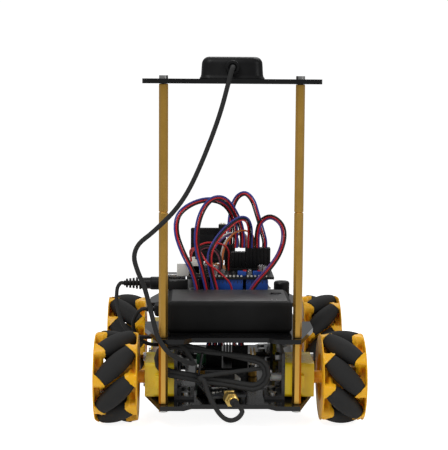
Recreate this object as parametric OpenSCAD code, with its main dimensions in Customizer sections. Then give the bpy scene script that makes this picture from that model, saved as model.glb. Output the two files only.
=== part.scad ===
// Four-wheel mecanum robot with a two-deck chassis and a rear mast.
// Frame: X to the right, Y forward, Z up, origin on the ground at the centre.

/* [Wheels] */
// Diameter over the rollers
wheel_d = 60; // [57:0.5:64]
// Diameter of a roller at its middle
roller_d = 13; // [11:0.5:13]
// Length of a roller
roller_len = 27; // [22:0.5:28]
// Thickness of a hub plate's disc
disc_t = 2.5; // [2:0.5:3]
// Thickness of a hub ear, along its roller's pin
ear_t = 2.6; // [2:0.2:3]
// Diameter of a roller pin
pin_d = 2.4; // [2:0.2:3]
// Length of the hub boss between hub plate and gearbox
boss_len = 5.6; // [4:0.2:12]

/* [Stance] */
// Distance between left and right wheel centres
track = 146; // [140:1:175]
// Distance between front and rear axles
wheelbase = 140; // [130:1:180]
// Height of the lower plate's underside above the ground
ride_height = 14; // [12:0.5:16]

/* [Chassis] */
// Thickness of the chassis plates
plate_t = 3; // [2:0.5:4]
// Gap between the lower and the upper plate
deck_gap = 40; // [36:1:50]
// How far the rear plate edge lies behind the rear axle
overhang = 27; // [25:1:32]
// Length of one mast standoff, two to a column
mast_len = 80; // [66:1:100]
// Distance across the flats of the standoffs
hex_af = 5; // [5:0.5:6]
// Depth of the mast plate, front to back
mast_plate_y = 40; // [38:1:50]

/* [Gearmotors] */
// Width of the gearbox, across the robot
gear_w = 18.8; // [16:0.2:20]
// Height of the gearbox
gear_h = 22.3; // [20:0.1:24]
// Length of the gearbox
gear_len = 37; // [34:0.5:40]
// Wall of the gearbox shells
gear_wall = 1.6; // [1.2:0.1:2]
// Diameter of the output shaft
shaft_d = 5.4; // [5:0.1:6]
// Length of the motor can
can_len = 25; // [20:0.5:28]
// Diameter of the motor can
can_d = 20; // [18:0.5:20.5]

/* [Electronics] */
// Power bank width, across the robot
bank_x = 81; // [70:1:86]
// Power bank depth
bank_y = 50; // [44:1:56]
// Power bank height
bank_z = 20.5; // [16:0.5:24]
// Height of the control board's underside above the deck
board_lift = 16; // [14:0.5:20]
// Antenna width and depth at its foot
antenna_w = 40; // [34:1:42]
// Antenna height
antenna_h = 16; // [12:0.5:20]
// Diameter of the antenna cable
cable_d = 3; // [2.6:0.1:3]
// Diameter of the power leads
lead_d = 2.6; // [2:0.1:3]

/* [Hidden] */
WHEELS = ["fl", "fr", "rl", "rr"];
$fn = 48;
e = 0.5;                        // how far a cutter runs past the face it cuts

// Fits
run_gap = 0.05;                 // radial gap of a running fit
free_gap = 0.3;                 // gap between pieces that move past each other
seam = 0.1;                     // gap at a seam between two halves
screw_gap = 0.2;                // radial gap round a screw

// Standard hardware
m3_r = 1.5;
m3_head_r = 2.8;
m3_head_h = 2;
m3_nut_r = 3.1;
m3_nut_h = 2.4;

// Wheel geometry
wheel_r = wheel_d / 2;
roller_r = roller_d / 2;
roller_tilt = 45;
roller_count = 8;
roller_step = 360 / roller_count;
axis_r = wheel_r - roller_r;    // wheel axis to roller axis, at the roller's middle
half_len = roller_len / 2;
roller_end_r = wheel_r - norm([axis_r, half_len * sin(roller_tilt)]);
crown_sag = roller_r - roller_end_r;
crown_r = (half_len * half_len + crown_sag * crown_sag) / (2 * crown_sag);
pin_r = pin_d / 2;
roller_bore_r = pin_r + run_gap;
ear_r = 4.4;
ear_web = 3.4;                  // half width of the web that carries an ear
ear_reach = 9.5;                // ear's length, from its pin towards the disc
ear_in = half_len + free_gap;   // along the pin, roller middle to ear
ear_out = ear_in + ear_t;
disc_in = (ear_in + ear_t / 2) * cos(roller_tilt) - disc_t / 2 + 0.6;
disc_out = disc_in + disc_t;
disc_r = axis_r - roller_r + 1.5;
core_r = 8;
disc_wall = 3;                  // wall round the recess in a hub plate's outer face
rim_t = 0.9;
rim_r = wheel_r - 2;
rim_in = (half_len + roller_end_r) * cos(roller_tilt) + free_gap;      // clears the rollers' ends
hub_half = rim_in + rim_t;
ear_limit = wheel_r - 1.2;      // the ears are cut off at this radius
boss_r = 4.2;
shaft_r = shaft_d / 2;
wheel_screw_r = 1.2;
wheel_screw_head_r = 2.6;

// Angle of each wheel's first roller above the rearward horizontal
function first_roller(w) = w == "rl" ? 30 : w == "rr" ? 15 : w == "fl" ? 8 : 38;
function side(w) = w[1] == "r" ? 1 : -1;
function fore(w) = w[0] == "f" ? 1 : -1;
function hand(w) = side(w) * fore(w);
function wheel_at(w) = [side(w) * track / 2, fore(w) * wheelbase / 2, wheel_r];
function roller_angle(w, k) = first_roller(w) + (k - 1) * roller_step;

// Gearmotors: the shaft sits near the outer end, the can points to the middle
gear_end = 11;                  // shaft to the gearbox's outer end
gear_face = track / 2 - disc_out - boss_len - free_gap;   // gearbox outer face, from the middle
gear_inner = gear_face - gear_w;
shaft_y = wheelbase / 2;
shaft_stub = 9;                 // shaft beyond each gearbox face
gear_r = 2.5;                   // corner radius of the gearbox
gear_bolt_y = 20.3;             // shaft to the through bolts, towards the middle
gear_bolt_z = 8.75;             // bolts above and below the shaft
can_flat = 15;
bracket_t = 2;
bracket_foot = 13;

// Plates
plate_z = ride_height;
lower_top = plate_z + plate_t;
deck_z = lower_top + deck_gap;
deck_top = deck_z + plate_t;
wheel_clear = 3.5;              // wheel's inner face to the plates
plate_half = track / 2 - hub_half - wheel_clear;
plate_end = shaft_y + overhang;
chamfer_x = 11;
chamfer_y = 39;
tab_len = 22;
waist_in = 9.5;
waist_y = plate_end - chamfer_y - tab_len;
lobe_in = 20;                   // width of the lobe that carries a column, from its outer corner
recess = 5;                     // depth of the rear edge's shallow recess
column_x = plate_half - 13;
column_y = plate_end - 7;
spare_hole_y = 12;
mast_z = deck_top + 2 * mast_len;
mast_top = mast_z + plate_t;
mast_plate_x = 2 * plate_half;
mast_plate_back = column_y + 9.5;

// Power bank: stands on the deck, between the columns and the boards
bank_back = shaft_y + 7;
bank_front = bank_back - bank_y;
bank_top = deck_top + bank_z;
button_r = 3.5;
button_travel = 0.8;
button_proud = 1.2;
button_x = bank_x / 2 - 9;
button_y = -bank_back + bank_y * 0.6;
button_pocket = 5;

// Plugs of the two leads: a flat one in the power bank's left side, a round one in the power jack
port_y = 32 - bank_back;
port_z = deck_top + 10;
port_tip = [5, 12, 4.5];
port_plug = [13.7, 14, 8];
plug_gap = 0.2;
jack_size = [13.2, 9, 6.8];
jack_out = 1.8;                 // how far the jack stands out past the board's edge
plug_r = 4.5;
plug_len = 19;
relief_len = 12;

// Control board and the shield on its headers
board_t = 1.6;
board_x = 68.6;
board_y = 53.4;
board_back = -bank_front + 7.5;               // rear edge, just in front of the power bank
board_left = -38.7;
board_z = deck_top + board_lift;
header_h = 8.5;
header_w = 2.5;
pitch = 2.54;
shield_x = 60;
shield_left = -28;
shield_z = board_z + board_t + header_h;
shield_top = shield_z + board_t;
socket_size = [8, 10, 6];
socket_step = 12;
usb_size = [16, 12, 6.8];
block_h = 16.5;                 // header base and the plugs pushed on it
block_y = board_back + 26;
block_left = 3;
side_block_y = block_y + 18;
side_block_left = -1;

// Motor driver board on the lower plate
driver_x = 44;
driver_y = 44;
driver_at = [0, 4];
driver_z = lower_top + 5;
driver_top = driver_z + board_t;
driver_header = [11, 3];
driver_header_top = 39;
driver_header_y = -17;
terminal_size = [8, 12, 10];
terminal_at = [-21, -9.5];
sink_size = [14, 14, 12];
sink_at = [-2, 4];

// Satellite receiver board at the rear of the lower plate
gnss_turn = 12;
gnss_at = [-5, 1 - shaft_y];
gnss_x = 26;
gnss_y = 40;
gnss_z = lower_top + 3.4;
can_size = [14, 16, 2.6];
sma_flange = 2;
sma_len = 10;
sma_r = 3.1;
nut_af = 8;
nut_len = 9;
ferrule_r = 2.6;
ferrule_len = 7;

// Sounder on the deck's front right corner
sounder_at = [44, plate_end - 20];
sounder_r = 6;
sounder_h = 9.5;

// Sensor head on its servo
servo_y = plate_end - 27;
servo_x = -12;
servo_h = 22;
servo_top = deck_top + servo_h;
spline_r = 2.4;
head_w = 27;
head_h = 25;
head_y = 10;                    // servo axis to the front of the head's back plate
lens_r = 8;
lens_len = 12;

// Antenna on the mast plate
antenna_y = 12 - column_y;
antenna_body = antenna_w - 4;
boss_d = 9;
boss_out = 3.5;

// Route of the antenna cable, from the antenna's boss to the hank's tie
CABLE = [
  [0, -99.5, 230], [0, -102.5, 230], [-1, -106.5, 227.5], [-3, -109, 220], [-7, -110, 205],
  [-12, -110, 190], [-19, -110, 172], [-27, -110, 155], [-36, -110, 142], [-48, -109, 130],
  [-57, -108, 122],
  [-60, -107, 114], [-58, -106, 105], [-54, -105, 95], [-51, -105, 84], [-48, -105, 72],
  [-45, -104, 62], [-39, -102, 53], [-31, -97, 47], [-25, -91, 43.5], [-21.5, -86, 42]];
// From the tie to the plug: down, round a loose bend and back into the ferrule
TAIL = [
  [-17, -87, 34], [-15.5, -93, 29.5], [-13.5, -99, 25], [-10.5, -105.5, 20.5], [-7.5, -112, 17],
  [-4, -118, 15], [0, -122.5, 15], [4, -124, 17], [6.6, -121.5, 19.8], [5.8, -116.5, 21.2],
  [4.5, -112, 21.2], [3.1, -107, 21.2]];
hank_size = [76, 24, 5];
hank_at = [-11, -84, 40];
hank_tilt = 10;

// Leads: plug to the driver's power terminal, and power bank to the same terminal
LEAD_A = [
  [-71.5, -12, 82.2], [-73.7, -12, 82.2], [-75.8, -12.5, 79.4], [-76.4, -14, 75], [-76.3, -16.5, 70],
  [-75, -20, 64.5], [-73, -23.5, 58.5], [-70, -26.5, 53.5], [-65.5, -28, 49.5], [-59, -28, 47.5],
  [-50, -24, 47], [-42, -14, 45], [-34, -6, 37], [-28, -1.5, 30.5], [-24, -1, 28.6], [-21, -1, 28.6]];
LEAD_B = [
  [-54.5, -45, 70], [-57.5, -45, 70], [-61, -44, 67], [-63.5, -42.5, 61.5], [-63.5, -41, 56],
  [-61.5, -39, 50.5], [-57.5, -37, 46.5], [-52, -35, 44], [-46, -31, 43], [-40, -22, 42.5],
  [-33, -14.5, 38], [-28, -7.5, 31], [-24, -6, 28.6], [-21, -6, 28.6]];

// Jumper ribbons: diameter and points, from the driver's headers up through the deck to the shield
JUMPERS = [
  [3.6, [[-12.6, -15.5, 39], [-12.6, -15.5, 43], [-17, -21, 53], [-20, -23, 62], [-20, -23, 76],
         [-24, -24, 92], [-30, -25, 104], [-35, -24, 118], [-34, -21, 130], [-26, -16, 137],
         [-15, -10, 140], [-5, -4, 138], [2, 3, 131], [6, 8, 119], [6, 8, 104.2]]],
  [3.6, [[-8.6, -15.5, 39], [-8.6, -15.5, 43], [-11, -21, 53], [-13.5, -23, 62], [-13.5, -23, 76],
         [-17, -24, 92], [-20.5, -25, 106], [-21.5, -25.5, 117], [-19.5, -25, 129], [-15, -23, 138],
         [-9, -18, 142], [-2, -10, 140.5], [4, -2, 133], [9.5, 5, 121], [11, 8, 112],
         [11, 8, 104.2]]],
  [3.6, [[-4.6, -15.5, 39], [-4.6, -15.5, 43], [-5.5, -21, 53], [-7, -23, 62], [-7.5, -23, 76],
         [-11.5, -23, 92], [-12.5, -23, 103], [-9.5, -21, 111], [-4, -16, 118], [3, -11, 124],
         [9.5, -7, 127], [14, -2, 125], [16.2, 4, 119], [16.5, 8, 112], [16.5, 8, 104.2]]],
  [3.6, [[10, -15.5, 39], [10, -15.5, 43], [13, -21, 53], [15, -23, 62], [15, -23, 76],
         [20, -24, 85], [28, -23, 94], [35, -18, 103], [39, -10, 113], [38, -3, 122], [31, 4, 127],
         [24, 7.5, 123], [21.5, 8, 114], [21.5, 8, 104.2]]],
  [3.2, [[27, 12.5, 104.2], [27, 12.5, 109], [24.5, 12.5, 118], [21.5, 13, 128], [18.5, 15, 137],
         [13.5, 19, 142], [8, 24, 139], [4.5, 28, 131], [2.8, 28.3, 120], [2.8, 28.3, 104.2]]],
  [1.6, [[-25, -0.5, 93.7], [-25, -0.5, 97], [-26, -6, 104], [-22, -14, 107], [-18, -20, 104],
         [-15.8, -25, 100.5], [-13, -27.5, 97.5], [-8, -27.5, 94], [-3, -27, 89.5], [1, -25.5, 85],
         [3, -23.5, 79], [4, -23, 70], [4, -22, 60], [4.5, -19, 50], [5, -15.5, 43],
         [5, -15.5, 39]]]];

// ---- helpers ----

module bar(size, at) translate(at) cube(size);

// A bar that starts at x = 0 and is centred on the X axis
module half_bar(size) translate([0, -size[1] / 2, -size[2] / 2]) cube(size);

module rounded_rect(x, y, r) {
  square([x - 2 * r, y], center = true);
  square([x, y - 2 * r], center = true);
  for (sx = [-1, 1], sy = [-1, 1])
    translate([sx * (x / 2 - r), sy * (y / 2 - r)]) circle(r);
}

module slot(length, r) {
  square([length - 2 * r, 2 * r], center = true);
  for (s = [-1, 1]) translate([s * (length / 2 - r), 0]) circle(r);
}

module corners(x, y) {
  for (sx = [-1, 1], sy = [-1, 1]) translate([sx * x, sy * y, 0]) children();
}

module hex_rod(af, len) cylinder(d = af / cos(30), h = len, $fn = 6);

// A round tube swept along points, closed at both ends
function unit(v) = v / norm(v);
function tangent(p, i) = unit(p[min(i + 1, len(p) - 1)] - p[max(i - 1, 0)]);
function ring(at, dir, r, n) =
  let (ref = abs(dir[1]) < 0.9 ? [0, 1, 0] : [0, 0, 1], u = unit(cross(ref, dir)), v = cross(dir, u))
  [for (k = [0:n - 1]) at + r * (cos(360 * k / n) * u + sin(360 * k / n) * v)];
module tube(p, d, n = 8) {
  m = len(p);
  pts = [for (i = [0:m - 1]) each ring(p[i], tangent(p, i), d / 2, n)];
  sides = [for (i = [0:m - 2], k = [0:n - 1])
    [i * n + k, i * n + (k + 1) % n, (i + 1) * n + (k + 1) % n, (i + 1) * n + k]];
  polyhedron(pts, concat([[for (k = [n - 1:-1:0]) k]], [[for (k = [0:n - 1]) (m - 1) * n + k]],
    [for (f = sides) [f[0], f[1], f[2], f[3]]]), convexity = 8);
}

// ---- wheels ----

// Puts a child at a wheel's centre
module at_wheel(w) translate(wheel_at(w)) children();

// Puts a child on a roller's axis: Z along the roller, X towards the wheel's middle
module on_roller(w, k)
  at_wheel(w) rotate([90 - roller_angle(w, k), 0, 0]) translate([0, 0, axis_r])
    rotate([0, 0, hand(w) * roller_tilt]) rotate([0, 90, 0]) children();

module roller(w, k)
  color([0.09, 0.09, 0.09]) on_roller(w, k)
    rotate_extrude($fn = 64) intersection() {
      translate([roller_bore_r, -half_len]) square([roller_r, roller_len]);
      translate([roller_r - crown_r, 0]) circle(crown_r, $fn = 360);
    }

module flat_ring(r_in, r_out, h) difference() {
  cylinder(r = r_out, h = h);
  translate([0, 0, -e]) cylinder(r = r_in, h = h + 2 * e);
}

// One half of a hub; s is the side of the wheel it is on, along X
module hub_side(w, s) {
  inner = s == -side(w);
  difference() {
    union() {
      at_wheel(w) rotate([0, 90 * s, 0]) {
        translate([0, 0, seam / 2]) cylinder(r = core_r, h = disc_out - seam / 2);
        translate([0, 0, disc_in]) cylinder(r = disc_r, h = disc_t);
        translate([0, 0, rim_in]) flat_ring(disc_r - disc_wall, rim_r, rim_t);
        translate([0, 0, disc_in]) flat_ring(disc_r - disc_wall, disc_r, hub_half - disc_in);
        if (inner) translate([0, 0, disc_in]) cylinder(r = boss_r, h = disc_t + boss_len);
      }
      intersection() {
        for (k = [1:roller_count]) on_roller(w, k)
          translate([0, 0, s > 0 ? ear_in : -ear_out]) linear_extrude(ear_t) {
            circle(ear_r);
            translate([0, -ear_web]) square([ear_reach, 2 * ear_web]);
          }
        at_wheel(w) rotate([0, 90 * s, 0]) cylinder(r = ear_limit, h = hub_half);
      }
    }
    at_wheel(w) rotate([0, 90 * s, 0]) {
      if (inner) translate([0, 0, disc_out + boss_len + free_gap - shaft_stub])
        cylinder(r = shaft_r, h = shaft_stub + e);
      translate([0, 0, -e]) cylinder(r = wheel_screw_r + screw_gap, h = disc_out + 2 * e);
    }
    for (k = [1:roller_count]) on_roller(w, k)
      translate([0, 0, -ear_out - e]) cylinder(r = pin_r, h = 2 * (ear_out + e));
  }
}

module hub(w) color([0.93, 0.62, 0.05]) for (s = [-1, 1]) hub_side(w, s);

// Roller pins, the drive shaft and the screw that holds the wheel on it
module axle(w) {
  shaft_len = gear_w + 2 * shaft_stub;
  screw_len = disc_out + 6;
  color([0.72, 0.72, 0.72]) for (k = [1:roller_count]) on_roller(w, k)
    translate([0, 0, -ear_out]) cylinder(r = pin_r, h = 2 * ear_out);
  color([0.93, 0.93, 0.9]) difference() {
    translate([side(w) * (gear_inner - shaft_stub), fore(w) * shaft_y, wheel_r])
      rotate([0, 90 * side(w), 0]) cylinder(r = shaft_r, h = shaft_len);
    at_wheel(w) rotate([0, -90 * side(w), 0]) cylinder(r = wheel_screw_r, h = screw_len);
  }
  color([0.72, 0.72, 0.72]) at_wheel(w) rotate([0, 90 * side(w), 0]) {
    translate([0, 0, -screw_len]) cylinder(r = wheel_screw_r, h = screw_len + disc_out + e);
    translate([0, 0, disc_out]) cylinder(r = wheel_screw_head_r, h = m3_head_h);
  }
}

// ---- chassis ----

// Outline of a chassis plate: end tabs with long chamfers and a narrow waist
module plate_outline() {
  half = [
    [plate_half - chamfer_x, plate_end], [plate_half, plate_end - chamfer_y],
    [plate_half, waist_y], [plate_half - waist_in, waist_y]];
  right = concat(half, [for (i = [len(half) - 1:-1:0]) [half[i][0], -half[i][1]]]);
  left = [for (i = [len(right) - 1:-1:0]) [-right[i][0], right[i][1]]];
  inner = plate_half - chamfer_x - lobe_in + recess;
  difference() {
    polygon(concat(right, left));
    for (s = [-1, 1]) scale([1, s]) polygon([
      [-inner, plate_end + e], [-inner, plate_end], [-inner + recess, plate_end - recess],
      [inner - recess, plate_end - recess], [inner, plate_end], [inner, plate_end + e]]);
  }
}

module column_places() corners(column_x, column_y) children();

module lower_plate() color([0.05, 0.05, 0.055]) translate([0, 0, plate_z]) difference() {
  linear_extrude(plate_t) difference() {
    plate_outline();
    for (y = [-1, 1]) translate([0, y * (shaft_y - 38)]) slot(34, m3_r + screw_gap);
    for (s = [-1, 1]) translate([s * (gear_inner - 5), 0]) rotate(90) slot(36, m3_r + screw_gap);
  }
  translate([0, 0, -e]) {
    column_places() cylinder(r = m3_r + screw_gap, h = plate_t + 2 * e);
    bracket_feet() cylinder(r = m3_r + screw_gap, h = plate_t + 2 * e);
    driver_posts() cylinder(r = m3_r + screw_gap, h = plate_t + 2 * e);
  }
}

// The deck's wire slots lie in front of the power bank, under the jumpers
module upper_plate() color([0.05, 0.05, 0.055]) translate([0, 0, deck_z]) difference() {
  linear_extrude(plate_t) difference() {
    plate_outline();
    translate([0, board_back - 3.5]) slot(56, 3.5);
    translate([servo_x + 32, shaft_y - 10]) slot(26, m3_r + screw_gap);
  }
  translate([0, 0, -e]) {
    column_places() cylinder(r = m3_r + screw_gap, h = plate_t + 2 * e);
    board_posts() cylinder(r = m3_r + screw_gap, h = plate_t + 2 * e);
    corners(column_x, spare_hole_y) cylinder(r = m3_r + screw_gap, h = plate_t + 2 * e);
  }
}

module mast_plate() color([0.05, 0.05, 0.055]) difference() {
  translate([0, -mast_plate_back + mast_plate_y / 2, mast_z])
    linear_extrude(plate_t) rounded_rect(mast_plate_x, mast_plate_y, 4);
  for (s = [-1, 1]) translate([s * column_x, -column_y, mast_z - e])
    cylinder(r = m3_r + screw_gap, h = plate_t + 2 * e);
}

// Threaded hex standoffs, each bored for the screws that meet in it
module standoff(len, bore = m3_r) difference() {
  hex_rod(hex_af, len);
  translate([0, 0, -e]) cylinder(r = bore, h = len + 2 * e);
}

module brass_standoffs() color([0.76, 0.6, 0.3]) {
  column_places() translate([0, 0, lower_top]) standoff(deck_gap);
  for (s = [-1, 1], n = [0, 1])
    translate([s * column_x, -column_y, deck_top + n * mast_len]) standoff(mast_len - seam);
  board_posts() translate([0, 0, deck_top]) standoff(board_lift);
  driver_posts() translate([0, 0, lower_top]) standoff(driver_z - lower_top);
}

// A pan-head screw pointing down from z = 0, with its slot
module screw_down(len) {
  difference() {
    cylinder(r = m3_head_r, h = m3_head_h);
    translate([-m3_head_r, -0.4, m3_head_h - 0.8]) cube([2 * m3_head_r, 0.8, 2]);
  }
  translate([0, 0, -len]) cylinder(r = m3_r, h = len + 0.01);
}

module screw_up(len) mirror([0, 0, 1]) screw_down(len);

module nut() difference() {
  cylinder(r = m3_nut_r, h = m3_nut_h, $fn = 6);
  translate([0, 0, -e]) cylinder(r = m3_r, h = m3_nut_h + 2 * e);
}

module plate_screws() color([0.75, 0.75, 0.73]) {
  column_places() translate([0, 0, plate_z]) screw_up(10);
  for (s = [-1, 1]) {
    translate([s * column_x, column_y, deck_top]) screw_down(10);
    translate([s * column_x, -column_y, mast_top]) screw_down(10);
    // Studs that join the lower column to the mast and the mast's two halves
    translate([s * column_x, -column_y, deck_z - 8]) cylinder(r = m3_r, h = 16 + plate_t);
    translate([s * column_x, -column_y, deck_top + mast_len - 8]) cylinder(r = m3_r, h = 16);
  }
  bracket_feet() translate([0, 0, lower_top + bracket_t]) {
    screw_down(plate_t + bracket_t + m3_nut_h);
    translate([0, 0, -plate_t - bracket_t - m3_nut_h]) nut();
  }
  board_posts() {
    translate([0, 0, board_z + board_t]) screw_down(6);
    translate([0, 0, deck_z]) screw_up(8);
  }
  driver_posts() {
    translate([0, 0, driver_top]) screw_down(4);
    translate([0, 0, plate_z]) screw_up(6);
  }
  for (w = WHEELS) gear_bolts(w) {
    translate([0, 0, gear_w + bracket_t]) cylinder(r = m3_head_r, h = m3_head_h);
    translate([0, 0, -m3_nut_h]) cylinder(r = m3_r, h = gear_w + bracket_t + m3_nut_h + 0.01);
    translate([0, 0, -m3_nut_h]) nut();
  }
}

// ---- gearmotors ----

// Puts a child at a gearbox: X outward from the inner face, Y towards the robot's end
module at_gear(w)
  translate([side(w) * gear_inner, fore(w) * shaft_y, wheel_r]) scale([side(w), fore(w), 1]) children();

// Puts a child on each through bolt, Z outward from the bracket's inner face
module gear_bolts(w) at_gear(w) for (s = [-1, 1])
  translate([-bracket_t, -gear_bolt_y, s * gear_bolt_z]) rotate([0, 90, 0]) children();

module gear_outline(inset) translate([gear_end - gear_len / 2, 0])
  rounded_rect(gear_len - 2 * inset, gear_h - 2 * inset, gear_r - inset);

// Half of a gearbox case: n is 0 for the inner half and 1 for the outer
module case_half(n) {
  half = (gear_w - seam) / 2;
  translate([n * gear_w, 0, 0]) mirror([n, 0, 0]) rotate([90, 0, 90]) difference() {
    linear_extrude(half) gear_outline(0);
    translate([0, 0, gear_wall]) linear_extrude(half) gear_outline(gear_wall);
    translate([0, 0, -e]) cylinder(r = shaft_r + run_gap, h = half);
    for (s = [-1, 1]) translate([-gear_bolt_y, s * gear_bolt_z, -e])
      cylinder(r = m3_r + screw_gap, h = half + 2 * e);
  }
}

module gearbox_cases() color([0.9, 0.82, 0.12]) for (w = WHEELS) at_gear(w) {
  for (n = [0, 1]) case_half(n);
  // Mounting tab at the gearbox's outer end
  translate([gear_w / 2 + seam, gear_end, -4]) difference() {
    translate([0, -e, 0]) cube([2.5, 5 + e, 8]);
    translate([-e, 2.5, 4]) rotate([0, 90, 0]) cylinder(r = 1.25, h = 2.5 + 2 * e);
  }
}

module motor_cans() color([0.72, 0.72, 0.7]) for (w = WHEELS) at_gear(w)
  translate([gear_w / 2, -(gear_len - gear_end), 0]) rotate([90, 0, 0]) {
    linear_extrude(can_len) intersection() {
      circle(d = can_d);
      square([can_flat, can_d], center = true);
    }
    translate([0, 0, can_len]) cylinder(r = 3, h = 2);
  }

module bracket_feet() for (w = WHEELS) at_gear(w)
  for (y = [-10, 5]) translate([-bracket_t - bracket_foot / 2 + 1, y, -wheel_r]) children();

module motor_brackets() color([0.7, 0.7, 0.7]) for (w = WHEELS) at_gear(w) difference() {
  union() {
    bar([bracket_t, 34, 30], [-bracket_t, -25, lower_top - wheel_r]);
    bar([bracket_foot, 23, bracket_t], [-bracket_foot, -14, lower_top - wheel_r]);
  }
  translate([-bracket_t - e, 0, 0]) rotate([0, 90, 0]) cylinder(r = 4.5, h = bracket_t + 2 * e);
  for (s = [-1, 1]) translate([-bracket_t - e, -gear_bolt_y, s * gear_bolt_z]) rotate([0, 90, 0])
    cylinder(r = m3_r + screw_gap, h = bracket_t + 2 * e);
  for (y = [-10, 5]) translate([-bracket_t - bracket_foot / 2 + 1, y, lower_top - wheel_r - e])
    cylinder(r = m3_r + screw_gap, h = bracket_t + 2 * e);
}

// ---- electronics ----

module power_bank() color([0.07, 0.07, 0.07]) difference() {
  translate([0, -bank_back, deck_top]) rotate([-90, 0, 0]) mirror([0, 1, 0])
    linear_extrude(bank_y) translate([0, bank_z / 2]) rounded_rect(bank_x, bank_z, 4);
  translate([button_x, button_y, bank_top - button_pocket])
    cylinder(r = button_r + free_gap, h = button_pocket + e);
  translate([-bank_x / 2 - e, port_y, port_z]) half_bar(port_tip + [1, 2 * plug_gap, 2 * plug_gap]);
}

module power_button() color([0.15, 0.15, 0.15])
  translate([button_x, button_y, bank_top - button_pocket + button_travel + free_gap])
    cylinder(r = button_r, h = button_pocket + button_proud - button_travel - free_gap);

module board_posts() translate([board_left, board_back, 0])
  for (p = [[14.6, 2.8], [15.3, 50.8], [66.1, 7.6], [66.1, 35.6]]) translate([p[0], p[1], 0]) children();

module driver_posts() translate([driver_at[0], driver_at[1], 0])
  corners(driver_x / 2 - 4, driver_y / 2 - 4) children();

// Puts a child at the receiver board's centre, Y towards its antenna jack's far end
module at_gnss() translate([gnss_at[0], gnss_at[1], gnss_z]) rotate([0, 0, gnss_turn]) children();

module circuit_boards() {
  color([0.03, 0.09, 0.13]) difference() {
    bar([board_x, board_y, board_t], [board_left, board_back, board_z]);
    translate([0, 0, board_z - e]) board_posts() cylinder(r = m3_r + screw_gap, h = board_t + 2 * e);
  }
  color([0.04, 0.04, 0.05]) bar([shield_x, board_y, board_t], [shield_left, board_back, shield_z]);
  color([0.5, 0.03, 0.03]) difference() {
    translate([driver_at[0], driver_at[1], driver_z])
      linear_extrude(board_t) rounded_rect(driver_x, driver_y, 2);
    translate([0, 0, driver_z - e]) driver_posts() cylinder(r = m3_r + screw_gap, h = board_t + 2 * e);
  }
  color([0.04, 0.04, 0.05]) at_gnss() linear_extrude(board_t) rounded_rect(gnss_x, gnss_y, 2);
  // Spacers that the receiver board stands on
  color([0.04, 0.04, 0.05]) at_gnss() corners(gnss_x / 2 - 3, gnss_y / 2 - 3)
    translate([0, 0, lower_top - gnss_z]) cylinder(r = 2.5, h = gnss_z - lower_top);
}

// A row of header sockets between the two boards, its first pin at x
module socket_row(x, y, pins) color([0.07, 0.24, 0.66])
  bar([pins * pitch, header_w, header_h], [x, y, board_z + board_t]);

module board_connectors() {
  edge = board_back + 1.3;
  far = board_back + board_y - 1.3 - header_w;
  socket_row(board_left + 26.6, edge, 9);
  socket_row(board_left + 51.4, edge, 6);
  socket_row(board_left + 18.8, far, 10);
  socket_row(board_left + 45.4, far, 7);
  // Pin header bases on the shield and the plugs on them
  color([0.03, 0.03, 0.03]) {
    bar([11 * pitch, 3 * pitch, block_h], [block_left, block_y, shield_top]);
    bar([3 * pitch, 3 * pitch, block_h], [side_block_left, side_block_y, shield_top]);
  }
  // White sockets along the shield's left side
  color([0.85, 0.85, 0.8]) for (n = [0:2])
    bar(socket_size, [shield_left + 1, board_back + 14 + socket_step * n, shield_top]);
  color([0.03, 0.03, 0.03]) power_jack();
  color([0.75, 0.75, 0.75]) bar(usb_size, [board_left - 6.3, board_back + 32, board_z + board_t]);
  color([0.05, 0.05, 0.05]) translate([-bank_x / 2 - free_gap, port_y, port_z]) {
    translate([-port_plug[0], 0, 0]) half_bar(port_plug);
    half_bar(port_tip);
  }
  color([0.03, 0.03, 0.03]) translate([sounder_at[0], sounder_at[1], deck_top])
    cylinder(r = sounder_r, h = sounder_h);
  driver_parts();
  receiver_parts();
}

// Power jack on the control board, and the plug in it with its tapered strain relief
module power_jack() translate([board_left - jack_out, board_back + 7.5, board_z + board_t]) {
  bar(jack_size, [0, -jack_size[1] / 2, 0]);
  translate([0, 0, plug_r + 0.1]) rotate([0, -90, 0]) {
    cylinder(r = plug_r, h = plug_len);
    translate([0, 0, plug_len]) cylinder(r1 = plug_r - 0.5, r2 = 2.2, h = relief_len);
  }
}

// Two header blocks, the power terminal and the heat sink
module driver_parts() translate([0, 0, driver_top]) {
  color([0.03, 0.03, 0.03]) for (s = [-1, 1])
    bar([driver_header[0], driver_header[1], driver_header_top - driver_top],
      [s * 9 - driver_header[0] / 2, driver_header_y, 0]);
  color([0.1, 0.35, 0.2]) bar(terminal_size, [terminal_at[0], terminal_at[1], 0]);
  color([0.05, 0.05, 0.05]) bar(sink_size, [sink_at[0], sink_at[1], 0]);
}

// Receiver module's can, its pin header and the antenna jack
module receiver_parts() at_gnss() {
  color([0.75, 0.75, 0.73]) bar(can_size, [-8, -6, board_t]);
  color([0.03, 0.03, 0.03]) bar([header_w, 6 * pitch, header_h], [gnss_x / 2 - 4, -10, board_t]);
  color([0.86, 0.66, 0.25]) translate([0, -gnss_y / 2, board_t / 2]) {
    bar([6.4, sma_flange, 6.4], [-3.2, -sma_flange, -3.2 + 1.2]);
    translate([0, -sma_flange, 0]) rotate([90, 0, 0]) cylinder(r = sma_r, h = sma_len - sma_flange);
  }
}

// Hex coupling nut on the jack, then the crimp ferrule
module antenna_plug() color([0.86, 0.66, 0.25]) at_gnss()
  translate([0, -gnss_y / 2 - sma_flange - 0.5, board_t / 2]) rotate([90, 0, 0]) {
    difference() {
      hex_rod(nut_af, nut_len);
      translate([0, 0, -e]) cylinder(r = sma_r + run_gap, h = sma_len - sma_flange + e);
    }
    translate([0, 0, nut_len]) cylinder(r = ferrule_r, h = ferrule_len);
  }

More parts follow.
